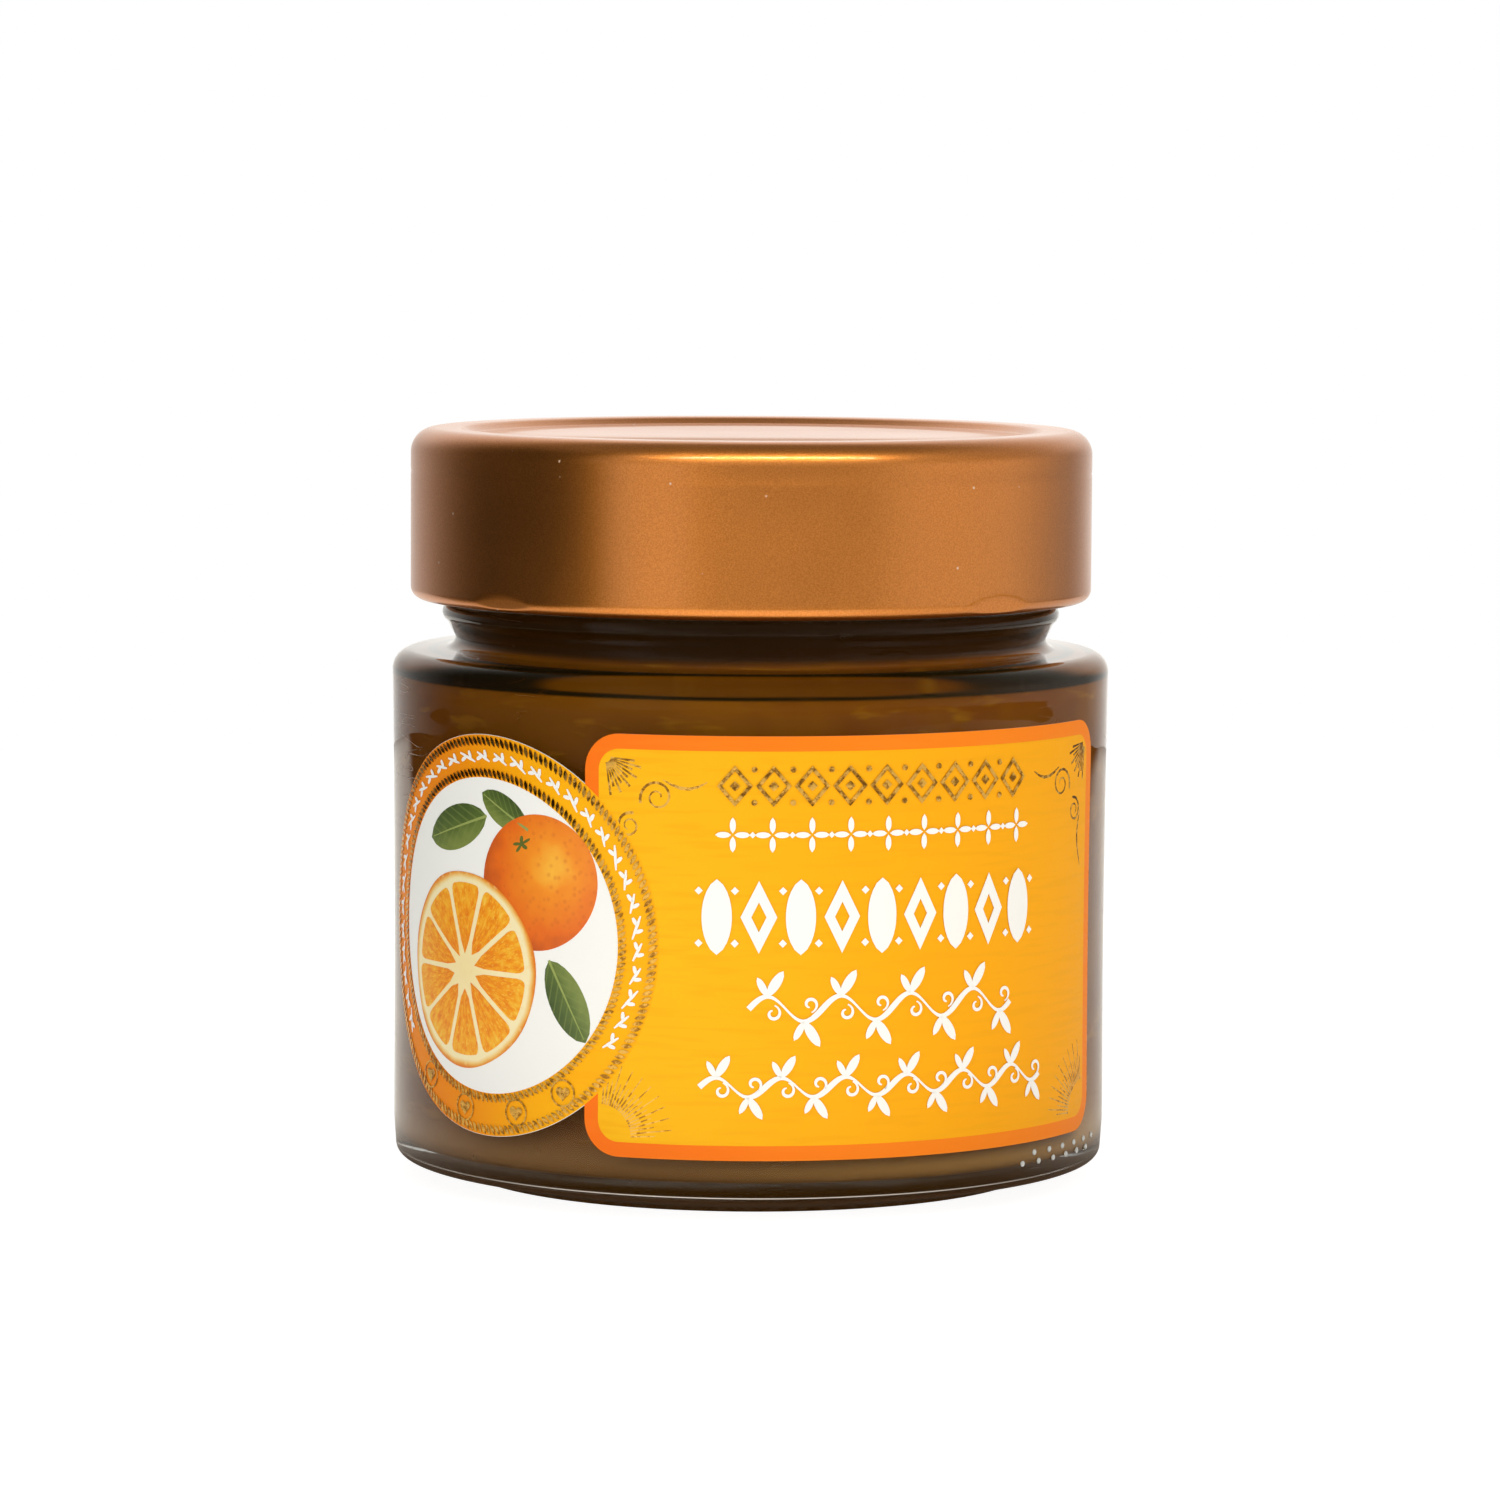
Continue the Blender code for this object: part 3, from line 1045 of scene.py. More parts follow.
class FlatPrint:
    """Shapes drawn flat on the label, raised to their layer and wrapped round the jar as one piece.

    X runs along the glass from the front and Y up from the base.
    """

    def __init__(self, jar: GlassJar, layer: Layer, thickness: float = 0.00003) -> None:
        """Start an empty print.

        Args:
            jar: The jar that it is wrapped round.
            layer: The layer that its face lies in.
            thickness: How thick the shapes are.
        """
        self.jar = jar
        self.layer = layer
        self.thickness = thickness
        self.bm = bmesh.new()
        self.strip = 0.0008
        self.row = 0.0025
        self.places = self.bm.faces.layers.int.new("shape")
        self.frames = [Matrix.Identity(3)]

    def _place(self, verts: list[bmesh.types.BMVert], along: float, height: float, turn: float = 0.0,
               size: Point = (1.0, 1.0)) -> None:
        """Scale, turn and move new points to their place on the label.

        Args:
            verts: The points.
            along: Where their middle goes along the glass.
            height: Where it goes above the base.
            turn: Angle in radians that they are turned by.
            size: Stretch along and up, before they are turned.
        """
        bmesh.ops.scale(self.bm, vec=(size[0], size[1], 1.0), verts=verts)
        bmesh.ops.rotate(self.bm, cent=(0.0, 0.0, 0.0), matrix=Matrix.Rotation(turn, 3, "Z"), verts=verts)
        bmesh.ops.translate(self.bm, vec=(along, height, 0.0), verts=verts)

    def sheet(self, left: float, right: float, bottom: float, top: float, corner: float) -> None:
        """Add a rectangle with rounded corners.

        Args:
            left: Its left edge along the glass.
            right: Its right edge.
            bottom: Height of its lower edge.
            top: Height of its upper edge.
            corner: Radius of its corners.
        """
        new = bmesh.ops.create_grid(self.bm, x_segments=1, y_segments=1, size=0.5)["verts"]
        self._place(new, 0.5 * (left + right), 0.5 * (bottom + top), 0.0, (right - left, top - bottom))
        self._round(new, corner, 10)

    def _round(self, verts: list[bmesh.types.BMVert], offset: float, segments: int) -> None:
        """Round the flat corners at some points."""
        bmesh.ops.bevel(self.bm, geom=verts, offset=offset, offset_type="OFFSET", affect="VERTICES",
                        segments=segments, profile=0.5, material=-1)

    def disc(self, along: float, height: float, radius: float, segments: int = 24, size: Point = (1.0, 1.0),
             turn: float = 0.0, form: Shape | None = None) -> list[bmesh.types.BMVert]:
        """Add a filled round shape.

        Args:
            along: Place of its centre along the glass.
            height: Height of its centre.
            radius: Its radius.
            segments: Number of points round it.
            size: Stretch along and up, before it is turned.
            turn: Angle in radians that it is turned by.
            form: The share of the radius at each angle, 1 where there is none.

        Returns:
            Its points.
        """
        new = bmesh.ops.create_circle(self.bm, cap_ends=True, radius=radius, segments=segments)["verts"]
        if form:
            for vert in new:
                vert.co *= form(math.atan2(vert.co.y, vert.co.x))
        self._place(new, along, height, turn, size)
        self.tag(new)
        return new

    def ring(self, along: float, height: float, inner: float, outer: float, segments: int = 48,
             size: Point = (1.0, 1.0)) -> None:
        """Add a flat ring.

        Args:
            along: Place of its centre along the glass.
            height: Height of its centre.
            inner: Its inner radius.
            outer: Its outer radius.
            segments: Number of points round it.
            size: Stretch along and up.
        """
        loops = []
        for radius in (inner, outer):
            new = bmesh.ops.create_circle(self.bm, cap_ends=False, radius=radius, segments=segments)["verts"]
            self._place(new, along, height, 0.0, size)
            loops += {edge for vert in new for edge in vert.link_edges}
        bmesh.ops.bridge_loops(self.bm, edges=loops)

    def leaf(self, along: float, height: float, length: float, width: float, turn: float,
             segments: int = 16) -> None:
        """Add a pointed leaf.

        Args:
            along: Place of its middle along the glass.
            height: Height of its middle.
            length: Its length.
            width: Its width.
            turn: Angle in radians that it points along.
            segments: Number of points round it.
        """
        def pointed(angle: float) -> float:
            """Return the radius that draws the round in to two points."""
            return 1.0 / (1.0 + 1.1 * abs(math.sin(angle)) ** 1.4)
        self.disc(along, height, 0.5 * length, segments, (1.0, 2.1 * width / length), turn, pointed)

    def ribbon(self, path: list[Point], width: Callable[[float], float]) -> None:
        """Add a stroke along a path.

        Args:
            path: The stroke's middle line.
            width: Its width at each share of its length from 0 to 1.
        """
        before: list[bmesh.types.BMVert] = []
        last = len(path) - 1
        for index, (along, height) in enumerate(path):
            ahead, behind = path[min(index + 1, last)], path[max(index - 1, 0)]
            slope = math.atan2(ahead[1] - behind[1], ahead[0] - behind[0]) + 0.5 * math.pi
            half = 0.5 * width(index / last)
            out, up = half * math.cos(slope), half * math.sin(slope)
            pair = [self.bm.verts.new((along + side * out, height + side * up, 0.0)) for side in (-1.0, 1.0)]
            if before:
                self.bm.faces.new((before[0], pair[0], pair[1], before[1]))
            before = pair

    def draw(self, points: list[Point], rounding: float = 0.0, corners: tuple[int, ...] = ()) -> None:
        """Add a filled outline.

        Args:
            points: Its corners in order.
            rounding: How far corners are rounded.
            corners: Which of the points are rounded.
        """
        verts = [self.bm.verts.new((along, height, 0.0)) for along, height in points]
        self.bm.faces.new(verts)
        self.tag(verts)
        if corners:
            self._round([verts[index] for index in corners], rounding, 3)

    def frame(self, along: float, height: float, radius: float, turn: float = 0.0) -> None:
        """Start a shape whose picture colour runs from -1 to 1 about a centre.

        Args:
            along: Place of the centre along the glass.
            height: Height of the centre.
            radius: How far from the centre it reaches 1.
            turn: Angle in radians that it is turned by.
        """
        moved = Matrix(((1.0, 0.0, -along), (0.0, 1.0, -height), (0.0, 0.0, 1.0)))
        shrunk = Matrix.Diagonal((1.0 / radius, 1.0 / radius, 1.0))
        self.frames.append(shrunk @ (Matrix.Rotation(-turn, 3, "Z") @ moved))

    def tag(self, verts: list[bmesh.types.BMVert]) -> None:
        """Mark the faces of new points as parts of the latest frame."""
        for face in {face for vert in verts for face in vert.link_faces}:
            face[self.places] = len(self.frames) - 1

    def _write_frames(self) -> None:
        """Write each face's place in its own frame as the UV map that picture colours read."""
        printed = self.bm.loops.layers.uv.new("print")
        for face in self.bm.faces:
            frame = self.frames[face[self.places]]
            for loop in face.loops:
                mapped = frame @ Vector((loop.vert.co.x, loop.vert.co.y, 1.0))
                loop[printed].uv = (mapped.x, mapped.y)

    def cut(self) -> None:
        """Cut the flat shapes at the same places in every layer, so that they bend alike."""
        for axis, pitch in ((0, self.strip), (1, self.row)):
            reach = [vert.co[axis] for vert in self.bm.verts]
            normal = Vector((1.0, 0.0, 0.0)) if axis == 0 else Vector((0.0, 1.0, 0.0))
            for index in range(math.ceil(min(reach) / pitch), math.floor(max(reach) / pitch) + 1):
                crossing = [face for face in self.bm.faces
                            if min(vert.co[axis] for vert in face.verts) < index * pitch < max(
                                vert.co[axis] for vert in face.verts)]
                parts = set(crossing)
                for face in crossing:
                    parts.update(face.edges)
                    parts.update(face.verts)
                bmesh.ops.bisect_plane(self.bm, geom=list(parts), dist=MERGE, plane_co=index * pitch * normal,
                                       plane_no=normal)

    def raised(self) -> bmesh.types.BMesh:
        """Give the flat shapes their thickness and wrap them round the jar.

        Returns:
            The wrapped mesh.
        """
        bmesh.ops.triangulate(self.bm, faces=[face for face in self.bm.faces if len(face.verts) > 4])
        for face in self.bm.faces:
            face.normal_update()
            if face.normal.z < 0.0:
                face.normal_flip()
        if len(self.frames) > 1:
            self._write_frames()
        lifted = bmesh.ops.extrude_face_region(self.bm, geom=self.bm.faces[:], use_keep_orig=True)["geom"]
        bmesh.ops.translate(self.bm, vec=(0.0, 0.0, -self.thickness),
                            verts=[part for part in lifted if isinstance(part, bmesh.types.BMVert)])
        bmesh.ops.recalc_face_normals(self.bm, faces=self.bm.faces)
        for vert in self.bm.verts:
            along, height, lift = vert.co
            radius = self.jar.body_radius(height) + self.layer.value + lift
            angle = along / self.jar.wrap_radius
            vert.co = (radius * math.sin(angle), -radius * math.cos(angle), height)
        return self.bm

    def finish(self, name: str, material: bpy.types.Material, node: str | None = None) -> bpy.types.Object:
        """Wrap the print and make it a finished piece of the label.

        Args:
            name: The piece's name.
            material: Its material.
            node: The CAD node that it stands for.

        Returns:
            The piece.
        """
        self.cut()
        return finish_piece(name, self.raised(), material, node, 30.0)


@dataclass
class LabelLayout:
    """Sizes of the die-cut label, along the glass from the front and up from the base."""

    left: float = -0.0174
    right: float = 0.0465
    bottom: float = 0.0065
    top: float = 0.0502
    corner: float = 0.0038
    border: float = 0.00155
    medallion_along: float = -0.0302
    medallion_height: float = 0.02825
    medallion_radius: float = 0.0210
    paper_edge: float = 0.00005
    rope_outer: float = 0.0203
    rope_inner: float = 0.0170
    disc_radius: float = 0.0165
    chain_height: float = 0.0451
    flower_height: float = 0.0401
    oval_height: float = 0.03165
    row_count: int = 9

    def on_ring(self, degrees: float, radius: float) -> Point:
        """Return the place at an angle and radius on the medallion."""
        return arc(self.medallion_along, self.medallion_height, radius, degrees, degrees, 1)[0]


def spiral(along: float, height: float, outer: float, inner: float, start: float,
           turns: float) -> list[Point]:
    """Return the path of a scroll that winds in.

    Args:
        along: Place of its middle along the glass.
        height: Height of its middle.
        outer: Radius that it starts at.
        inner: Radius that it ends at.
        start: Angle in degrees that it starts at.
        turns: Number of turns, negative for clockwise.

    Returns:
        The path's points.
    """
    steps = round(abs(turns) * 26)
    path = []
    for step in range(steps + 1):
        share = step / steps
        angle = math.radians(start + 360.0 * turns * share)
        radius = outer + (inner - outer) * share ** 0.8
        path.append((along + radius * math.cos(angle), height + radius * math.sin(angle)))
    return path


def swell(thin: float, thick: float) -> Callable[[float], float]:
    """Return a stroke width that swells from thin ends to a thick middle."""
    return lambda share: thin + (thick - thin) * math.sin(math.pi * share)


@dataclass
class CitrusPicture:
    """A generic printed picture: a cut orange in front of a whole one with leaves."""

    slice_at: Point = (-0.0337, 0.0244)
    slice_radius: float = 0.0103
    segments: int = 10
    fruit_at: Point = (-0.0233, 0.0343)
    fruit_radius: float = 0.0074

    def build(self, start: Callable[[Layer], FlatPrint]) -> None:
        """Build the picture from the back to the front.

        Args:
            start: Returns an empty print in a layer.
        """
        self._leaves(start)
        self._fruit(start)
        self._slice(start)

    def _leaves(self, start: Callable[[Layer], FlatPrint]) -> None:
        """Build the leaves and their midribs.

        Args:
            start: Returns an empty print in a layer.
        """
        tones = ((0.0, paint(58, 78, 34)), (0.5, paint(88, 108, 46)), (1.0, paint(136, 150, 74)))
        green = PictureFinish("leaf_green", Pattern.LEAF, tones, paint(128, 146, 72), 0.35)
        rib = InkFinish("leaf_rib", paint(150, 164, 92), paint(140, 156, 84), paint(170, 180, 110), 0.2)
        leaves = ((-0.0352, 0.0392, 0.0105, 0.0046, 197.0), (-0.0276, 0.0414, 0.0074, 0.0033, 152.0),
                  (-0.0195, 0.0222, 0.0094, 0.0042, -62.0))
        flat, ribs = start(Layer.PICTURE_BACK), start(Layer.PICTURE_MIDDLE)
        for along, height, length, width, degrees in leaves:
            turn = math.radians(degrees)
            flat.frame(along, height, 0.5 * length, turn)
            flat.leaf(along, height, length, width, turn, 28)
            reach = 0.5 * length
            path = [(along + share * reach * math.cos(turn), height + share * reach * math.sin(turn))
                    for share in (-1.0, -0.6, -0.2, 0.2, 0.6, 0.92)]
            ribs.ribbon(path, lambda share: 0.00030 - 0.00022 * share)
        flat.finish("picture_leaves", green.material())
        ribs.finish("picture_leaf_ribs", rib.material())

    def _fruit(self, start: Callable[[Layer], FlatPrint]) -> None:
        """Build the whole orange and its calyx.

        Args:
            start: Returns an empty print in a layer.
        """
        tones = ((0.0, paint(253, 190, 60)), (0.28, paint(246, 146, 30)), (0.68, paint(232, 108, 20)),
                 (1.0, paint(176, 72, 24)))
        peel = PictureFinish("orange_peel", Pattern.PEEL, tones, paint(214, 100, 20), 0.4)
        flat = start(Layer.PICTURE_MIDDLE)
        flat.frame(*self.fruit_at, self.fruit_radius)
        flat.disc(*self.fruit_at, self.fruit_radius, 72, (1.0, 0.95), 0.4)
        flat.finish("picture_orange", peel.material())
        green = InkFinish("calyx_green", paint(92, 104, 44), paint(110, 118, 56), paint(130, 136, 70), 0.3)
        flat = start(Layer.PICTURE_FRONT)
        flat.disc(self.fruit_at[0] - 0.0019, self.fruit_at[1] + 0.0039, 0.0013, 40, (1.0, 0.62), 0.5,
                  lambda angle: 0.62 + 0.38 * math.cos(5.0 * angle))
        flat.finish("picture_calyx", green.material())

    def _slice(self, start: Callable[[Layer], FlatPrint]) -> None:
        """Build the cut orange: rind and pith, then the segments round its star.

        Args:
            start: Returns an empty print in a layer.
        """
        tones = ((0.0, paint(252, 232, 170)), (0.55, paint(254, 240, 190)), (0.92, paint(252, 238, 190)),
                 (0.955, paint(246, 205, 120)), (0.98, paint(238, 160, 60)), (1.0, paint(230, 130, 30)))
        rind = PictureFinish("orange_rind", Pattern.RIND, tones, paint(250, 222, 150), 0.5)
        flat = start(Layer.PICTURE_FRONT)
        flat.frame(*self.slice_at, self.slice_radius)
        flat.disc(*self.slice_at, self.slice_radius, 96, (1.0, 1.0), 0.0,
                  lambda angle: 1.0 + 0.008 * math.sin(3.0 * angle + 1.0) + 0.005 * math.sin(7.0 * angle))
        flat.finish("picture_rind", rind.material())
        tones = ((0.22, paint(232, 108, 4)), (0.40, paint(240, 134, 8)), (0.52, paint(248, 158, 16)),
                 (0.66, paint(252, 188, 48)), (0.82, paint(254, 220, 110)))
        pulp = PictureFinish("orange_pulp", Pattern.PULP, tones, paint(254, 214, 84), 0.65)
        flat = start(Layer.PICTURE_TOP)
        flat.frame(*self.slice_at, self.slice_radius)
        share = 360.0 / self.segments
        rng = random.Random(5)
        for index in range(self.segments):
            middle = index * share - 180.0 + 0.5 * share
            half = 0.5 * share - 1.5 + rng.uniform(-0.8, 0.3)
            outer = self.slice_radius * rng.uniform(0.865, 0.89)
            tip = arc(*self.slice_at, self.slice_radius * rng.uniform(0.15, 0.20), middle, middle, 1)[:1]
            side = arc(*self.slice_at, self.slice_radius * 0.3, middle - half * 0.78, middle + half * 0.78, 1)
            rim = arc(*self.slice_at, outer, middle - half, middle + half, 8)
            flat.draw(tip + side[:1] + rim + side[1:], 0.0011, (2, 10))
        flat.finish("picture_pulp", pulp.material())


class Label:
    """The label: paper, printed fields, foil, rows of ornament and a generic citrus picture."""

    def __init__(self, jar: GlassJar, layout: LabelLayout) -> None:
        """Keep the jar and the layout, and make the inks that several pieces share.

        Args:
            jar: The jar that the label is wrapped round.
            layout: The label's sizes.
        """
        self.jar = jar
        self.layout = layout
        white = InkFinish("label_white", paint(246, 248, 246), paint(254, 253, 249), paint(255, 255, 255))
        self.white = white.material()
        self.foil = FoilFinish().material()

    def _print(self, layer: Layer, thickness: float = 0.00003) -> FlatPrint:
        """Return an empty print in a layer."""
        return FlatPrint(self.jar, layer, thickness)

    def build_paper(self) -> None:
        """Build the white paper that the rest is printed on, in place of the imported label."""
        lay = self.layout
        flat = self._print(Layer.PAPER, 0.00007)
        flat.sheet(lay.left, lay.right, lay.bottom, lay.top, lay.corner)
        flat.finish("label_sheet_paper", self.white, "label")
        round_print = self._print(Layer.PAPER, 0.00007)
        round_print.disc(lay.medallion_along, lay.medallion_height, lay.medallion_radius, 144)
        round_print.finish("label_medallion_paper", self.white)

    def build_fields(self) -> None:
        """Build the orange border, the yellow field, the medallion's orange ring and its white disc."""
        lay = self.layout
        border = InkFinish("border_orange", paint(251, 114, 20), paint(253, 136, 22),
                           paint(255, 150, 40), 0.1)
        flat = self._print(Layer.BORDER)
        flat.sheet(lay.left, lay.right, lay.bottom, lay.top, lay.corner)
        flat.finish("label_border", border.material())
        field = InkFinish("field_yellow", paint(251, 191, 22), paint(255, 173, 6), paint(245, 168, 10), 0.4)
        inset = lay.border
        flat = self._print(Layer.FIELD)
        flat.sheet(lay.left + inset, lay.right - inset, lay.bottom + inset, lay.top - inset,
                   lay.corner - inset)
        flat.finish("label_field", field.material())
        ring = InkFinish("ring_orange", paint(240, 138, 18), paint(255, 182, 14), paint(246, 156, 10), 0.2,
                         start=-0.0345, end=-0.0185)
        flat = self._print(Layer.RING)
        flat.disc(lay.medallion_along, lay.medallion_height, lay.medallion_radius - lay.paper_edge, 144)
        flat.finish("medallion_ring", ring.material())
        flat = self._print(Layer.DISC)
        flat.disc(lay.medallion_along, lay.medallion_height, lay.disc_radius, 120)
        flat.finish("medallion_disc", self.white)

    def build_ropes(self) -> None:
        """Build the two foil ropes of the medallion's ring, and the four hearts in circles between them."""
        lay = self.layout
        flat = self._print(Layer.FOIL)
        for radius, count, length, width in ((lay.rope_outer, 190, 0.00122, 0.00042),
                                             (lay.rope_inner, 168, 0.00112, 0.00040)):
            for index in range(count):
                degrees = 360.0 * index / count
                flat.leaf(*lay.on_ring(degrees, radius), length, width, math.radians(degrees + 32.0), 8)
        flat.finish("medallion_ropes", self.foil)
        flat = self._print(Layer.FOIL)
        for degrees in (-122.6, -100.4, -76.6, -56.6):
            along, height = lay.on_ring(degrees, 0.5 * (lay.rope_outer + lay.rope_inner))
            flat.ring(along, height, 0.00128, 0.00146, 32)
            outline = []
            for step in range(28):
                angle = 2.0 * math.pi * step / 28
                across = 16.0 * math.sin(angle) ** 3
                up = (13.0 * math.cos(angle) - 5.0 * math.cos(2.0 * angle) - 2.0 * math.cos(3.0 * angle)
                      - math.cos(4.0 * angle))
                outline.append((along + 0.000052 * across, height + 0.000052 * up))
            flat.draw(outline)
        flat.finish("medallion_hearts", self.foil)

    def build_ring_sprigs(self) -> None:
        """Build the white sprigs that run round the medallion's ring."""
        lay = self.layout
        flat = self._print(Layer.ORNAMENT)
        middle = 0.5 * (lay.rope_outer + lay.rope_inner)
        count = 33
        for index in range(count):
            degrees = 214.7 - 247.0 * index / (count - 1)
            slope = math.radians(degrees + 64.0)
            along, height = lay.on_ring(degrees, middle)
            rise = (math.cos(slope), math.sin(slope))
            long_way = 0.00105 if index % 3 else 0.00130
            stem = [(along + share * long_way * rise[0], height + share * long_way * rise[1])
                    for share in (-1.0, -0.3, 0.4, 1.0)]
            flat.ribbon(stem, swell(0.00016, 0.00032))
            for side, share in ((1.0, 0.15), (-1.0, -0.45)):
                lean = slope + side * 0.85
                foot = (along + share * long_way * rise[0] + 0.00052 * math.cos(lean),
                        height + share * long_way * rise[1] + 0.00052 * math.sin(lean))
                flat.leaf(*foot, 0.0011, 0.00042, lean, 10)
        flat.finish("medallion_sprigs", self.white)

    def build_rows(self) -> None:
        """Build the ornament rows of the sheet: a foil chain, small flowers, bold ovals and two vines."""
        lay = self.layout
        flat = self._print(Layer.ORNAMENT)
        for index in range(lay.row_count):
            along = -0.0015 + 0.00395 * index
            flat.ring(along, lay.chain_height, 0.00155, 0.00210, 4, (0.86, 1.0))
            flat.disc(along, lay.chain_height, 0.00052, 4)
            if index:
                flat.disc(along - 0.001975, lay.chain_height + 0.0017, 0.00030, 10)
                flat.disc(along - 0.001975, lay.chain_height - 0.0017, 0.00030, 10)
        flat.finish("row_foil_chain", self.foil)
        flat = self._print(Layer.ORNAMENT)
        for index in range(lay.row_count):
            along = -0.0017 + 0.00405 * index
            for petal in range(4):
                degrees = 90.0 * petal
                foot = arc(along, lay.flower_height, 0.00098, degrees, degrees, 1)[0]
                flat.leaf(*foot, 0.00165, 0.00062, math.radians(degrees), 12)
            if index:
                flat.disc(along - 0.002025, lay.flower_height, 0.00034, 4)
        flat.finish("row_small_flowers", self.white)
        flat = self._print(Layer.ORNAMENT)
        for index in range(lay.row_count):
            along = -0.0033 + 0.00430 * index
            if index % 2:
                flat.ring(along, lay.oval_height, 0.00155, 0.00375, 4, (0.5, 1.0))
                continue
            flat.leaf(along, lay.oval_height, 0.0078, 0.00310, 0.5 * math.pi, 28)
            for side in (-0.00185, 0.00185):
                for up in (-0.0027, 0.0027):
                    flat.disc(along + side, lay.oval_height + up, 0.00042, 4)
        flat.finish("row_bold_ovals", self.white)
        flat = self._print(Layer.ORNAMENT)
        self._vine(flat, 0.0000, 0.0300, 0.0222, 0.0076, 0.0013, 0.0031)
        self._vine(flat, -0.0050, 0.0348, 0.0141, 0.0067, 0.0010, 0.0027)
        flat.finish("row_vines", self.white)

    @staticmethod
    def _vine(flat: FlatPrint, left: float, right: float, height: float, wave: float, swing: float,
              leaf: float) -> None:
        """Add a waving stem with leaves and tendrils.

        Args:
            flat: The print that it is drawn in.
            left: Where it starts along the glass.
            right: Where it ends.
            height: Height of its middle.
            wave: Length of one wave.
            swing: How far it swings up and down.
            leaf: Length of its leaves.
        """
        span = right - left
        steps = round(span / 0.0003)
        path = []
        for step in range(steps + 1):
            along = span * step / steps
            path.append((left + along, height + swing * math.sin(2.0 * math.pi * along / wave)))
        flat.ribbon(path, lambda share: 0.00042 + 0.00020 * math.cos(2.0 * math.pi * span * share / wave))
        count = round(2.0 * span / wave)
        for index in range(count):
            along = left + (index + 0.5) * 0.5 * wave
            side = -1.0 if index % 2 else 1.0
            start = height + side * swing
            for lean, size in ((58.0, 1.0), (118.0, 0.72)):
                turn = math.radians(side * lean)
                reach = 0.5 * size * leaf
                flat.leaf(along + reach * math.cos(turn), start + reach * math.sin(turn), size * leaf,
                          0.34 * size * leaf, turn, 16)
            tendril = spiral(along + 0.0006, height - side * 0.35 * swing, 0.00085, 0.00030, side * 80.0,
                             -side * 0.95)
            flat.ribbon(tendril, swell(0.00014, 0.00034))

    @staticmethod
    def _rays(flat: FlatPrint, corner: Point, face: float, rays: list[tuple[float, float, float]],
              width: Callable[[float], float]) -> None:
        """Add straight rays that spread from a corner.

        Args:
            flat: The print that they are drawn in.
            corner: The place that they spread from.
            face: 1 where they spread to the right, -1 to the left.
            rays: Each ray's angle in degrees, and how far from the corner it starts and ends.
            width: Their width at each share of their length.
        """
        for degrees, near, far in rays:
            turn = math.radians(degrees)
            reaches = [near + share * (far - near) for share in (0.0, 0.5, 1.0)]
            flat.ribbon([(corner[0] + face * reach * math.cos(turn), corner[1] + reach * math.sin(turn))
                         for reach in reaches], width)

    def build_corners(self) -> None:
        """Build the foil scrolls in the upper corners and the bursts of rays in the lower ones."""
        lay = self.layout
        flat = self._print(Layer.CORNER)
        shares = (0.0, 0.2, 0.4, 0.6, 0.8, 1.0)
        for corner, face in ((lay.left + 0.0023, 1.0), (lay.right - 0.0021, -1.0)):
            top = lay.top - 0.0024
            rays = [(-6.0 - 8.4 * ray, 0.0006, 0.0040 if ray % 2 else 0.0032) for ray in range(10)]
            self._rays(flat, (corner, top), face, rays, lambda share: 0.00012 + 0.00014 * share)
            scrolls = ((0.0056, -0.0040, 0.0019, 200.0, -1.55), (0.0026, -0.0070, 0.0014, 70.0, 1.5))
            for across, down, outer, start, turns in scrolls:
                path = spiral(0.0, top + down, outer, 0.0004, start, turns)
                flat.ribbon([(corner + face * (across + along), height) for along, height in path],
                            lambda share: 0.00030 - 0.00016 * share)
            tail = [(corner + face * (0.0062 + 0.0046 * share),
                     top - 0.0022 - 0.0011 * math.sin(2.4 * share) + 0.0006 * share * share)
                    for share in shares]
            flat.ribbon(tail, swell(0.00012, 0.00034))
            drop = [(corner + face * (0.0011 + 0.0007 * math.sin(3.4 * share)), top - 0.0072 - 0.0058 * share)
                    for share in shares]
            flat.ribbon(drop, swell(0.00010, 0.00030))
        for corner, face in ((lay.left + 0.0018, 1.0), (lay.right - 0.0020, -1.0)):
            rays = [(3.0 + 4.6 * ray, 0.0034, 0.0078 if ray % 2 else 0.0060) for ray in range(19)]
            self._rays(flat, (corner, lay.bottom + 0.0020), face, rays,
                       lambda share: 0.00020 - 0.00010 * share)
        flat.finish("corner_ornaments", self.foil)

    def build(self) -> None:
        """Build the whole label."""
        self.build_paper()
        self.build_fields()
        CitrusPicture().build(self._print)
        self.build_ropes()
        self.build_ring_sprigs()
        self.build_corners()
        self.build_rows()


@dataclass(frozen=True)
class SoftBox:
    """A rectangular studio light."""

    name: str
    place: tuple[float, float, float]
    aim: tuple[float, float, float]
    width: float
    depth: float
    radiance: float
    mirrored: bool = True
    only_on: str = ""
    colour: tuple[float, float, float] = (1.0, 1.0, 1.0)

    def build(self) -> None:
        """Build the light, unseen in reflections unless mirrored, and kept to a piece where one is named."""
        light = bpy.data.lights.new(self.name, "AREA")
        light.shape = "RECTANGLE"
        light.size = self.width
        light.size_y = self.depth
        light.energy = self.radiance * math.pi * self.width * self.depth
        light.color = self.colour
        lamp = bpy.data.objects.new(self.name, light)
        lamp.location = self.place
        lamp.rotation_euler = (Vector(self.aim) - Vector(self.place)).to_track_quat("-Z", "Y").to_euler()
        lamp.visible_glossy = self.mirrored
        bpy.context.scene.collection.objects.link(lamp)
        if self.only_on:
            lit = bpy.data.collections.new(self.name + "_lit")
            lit.objects.link(bpy.data.objects[self.only_on])
            lamp.light_linking.receiver_collection = lit


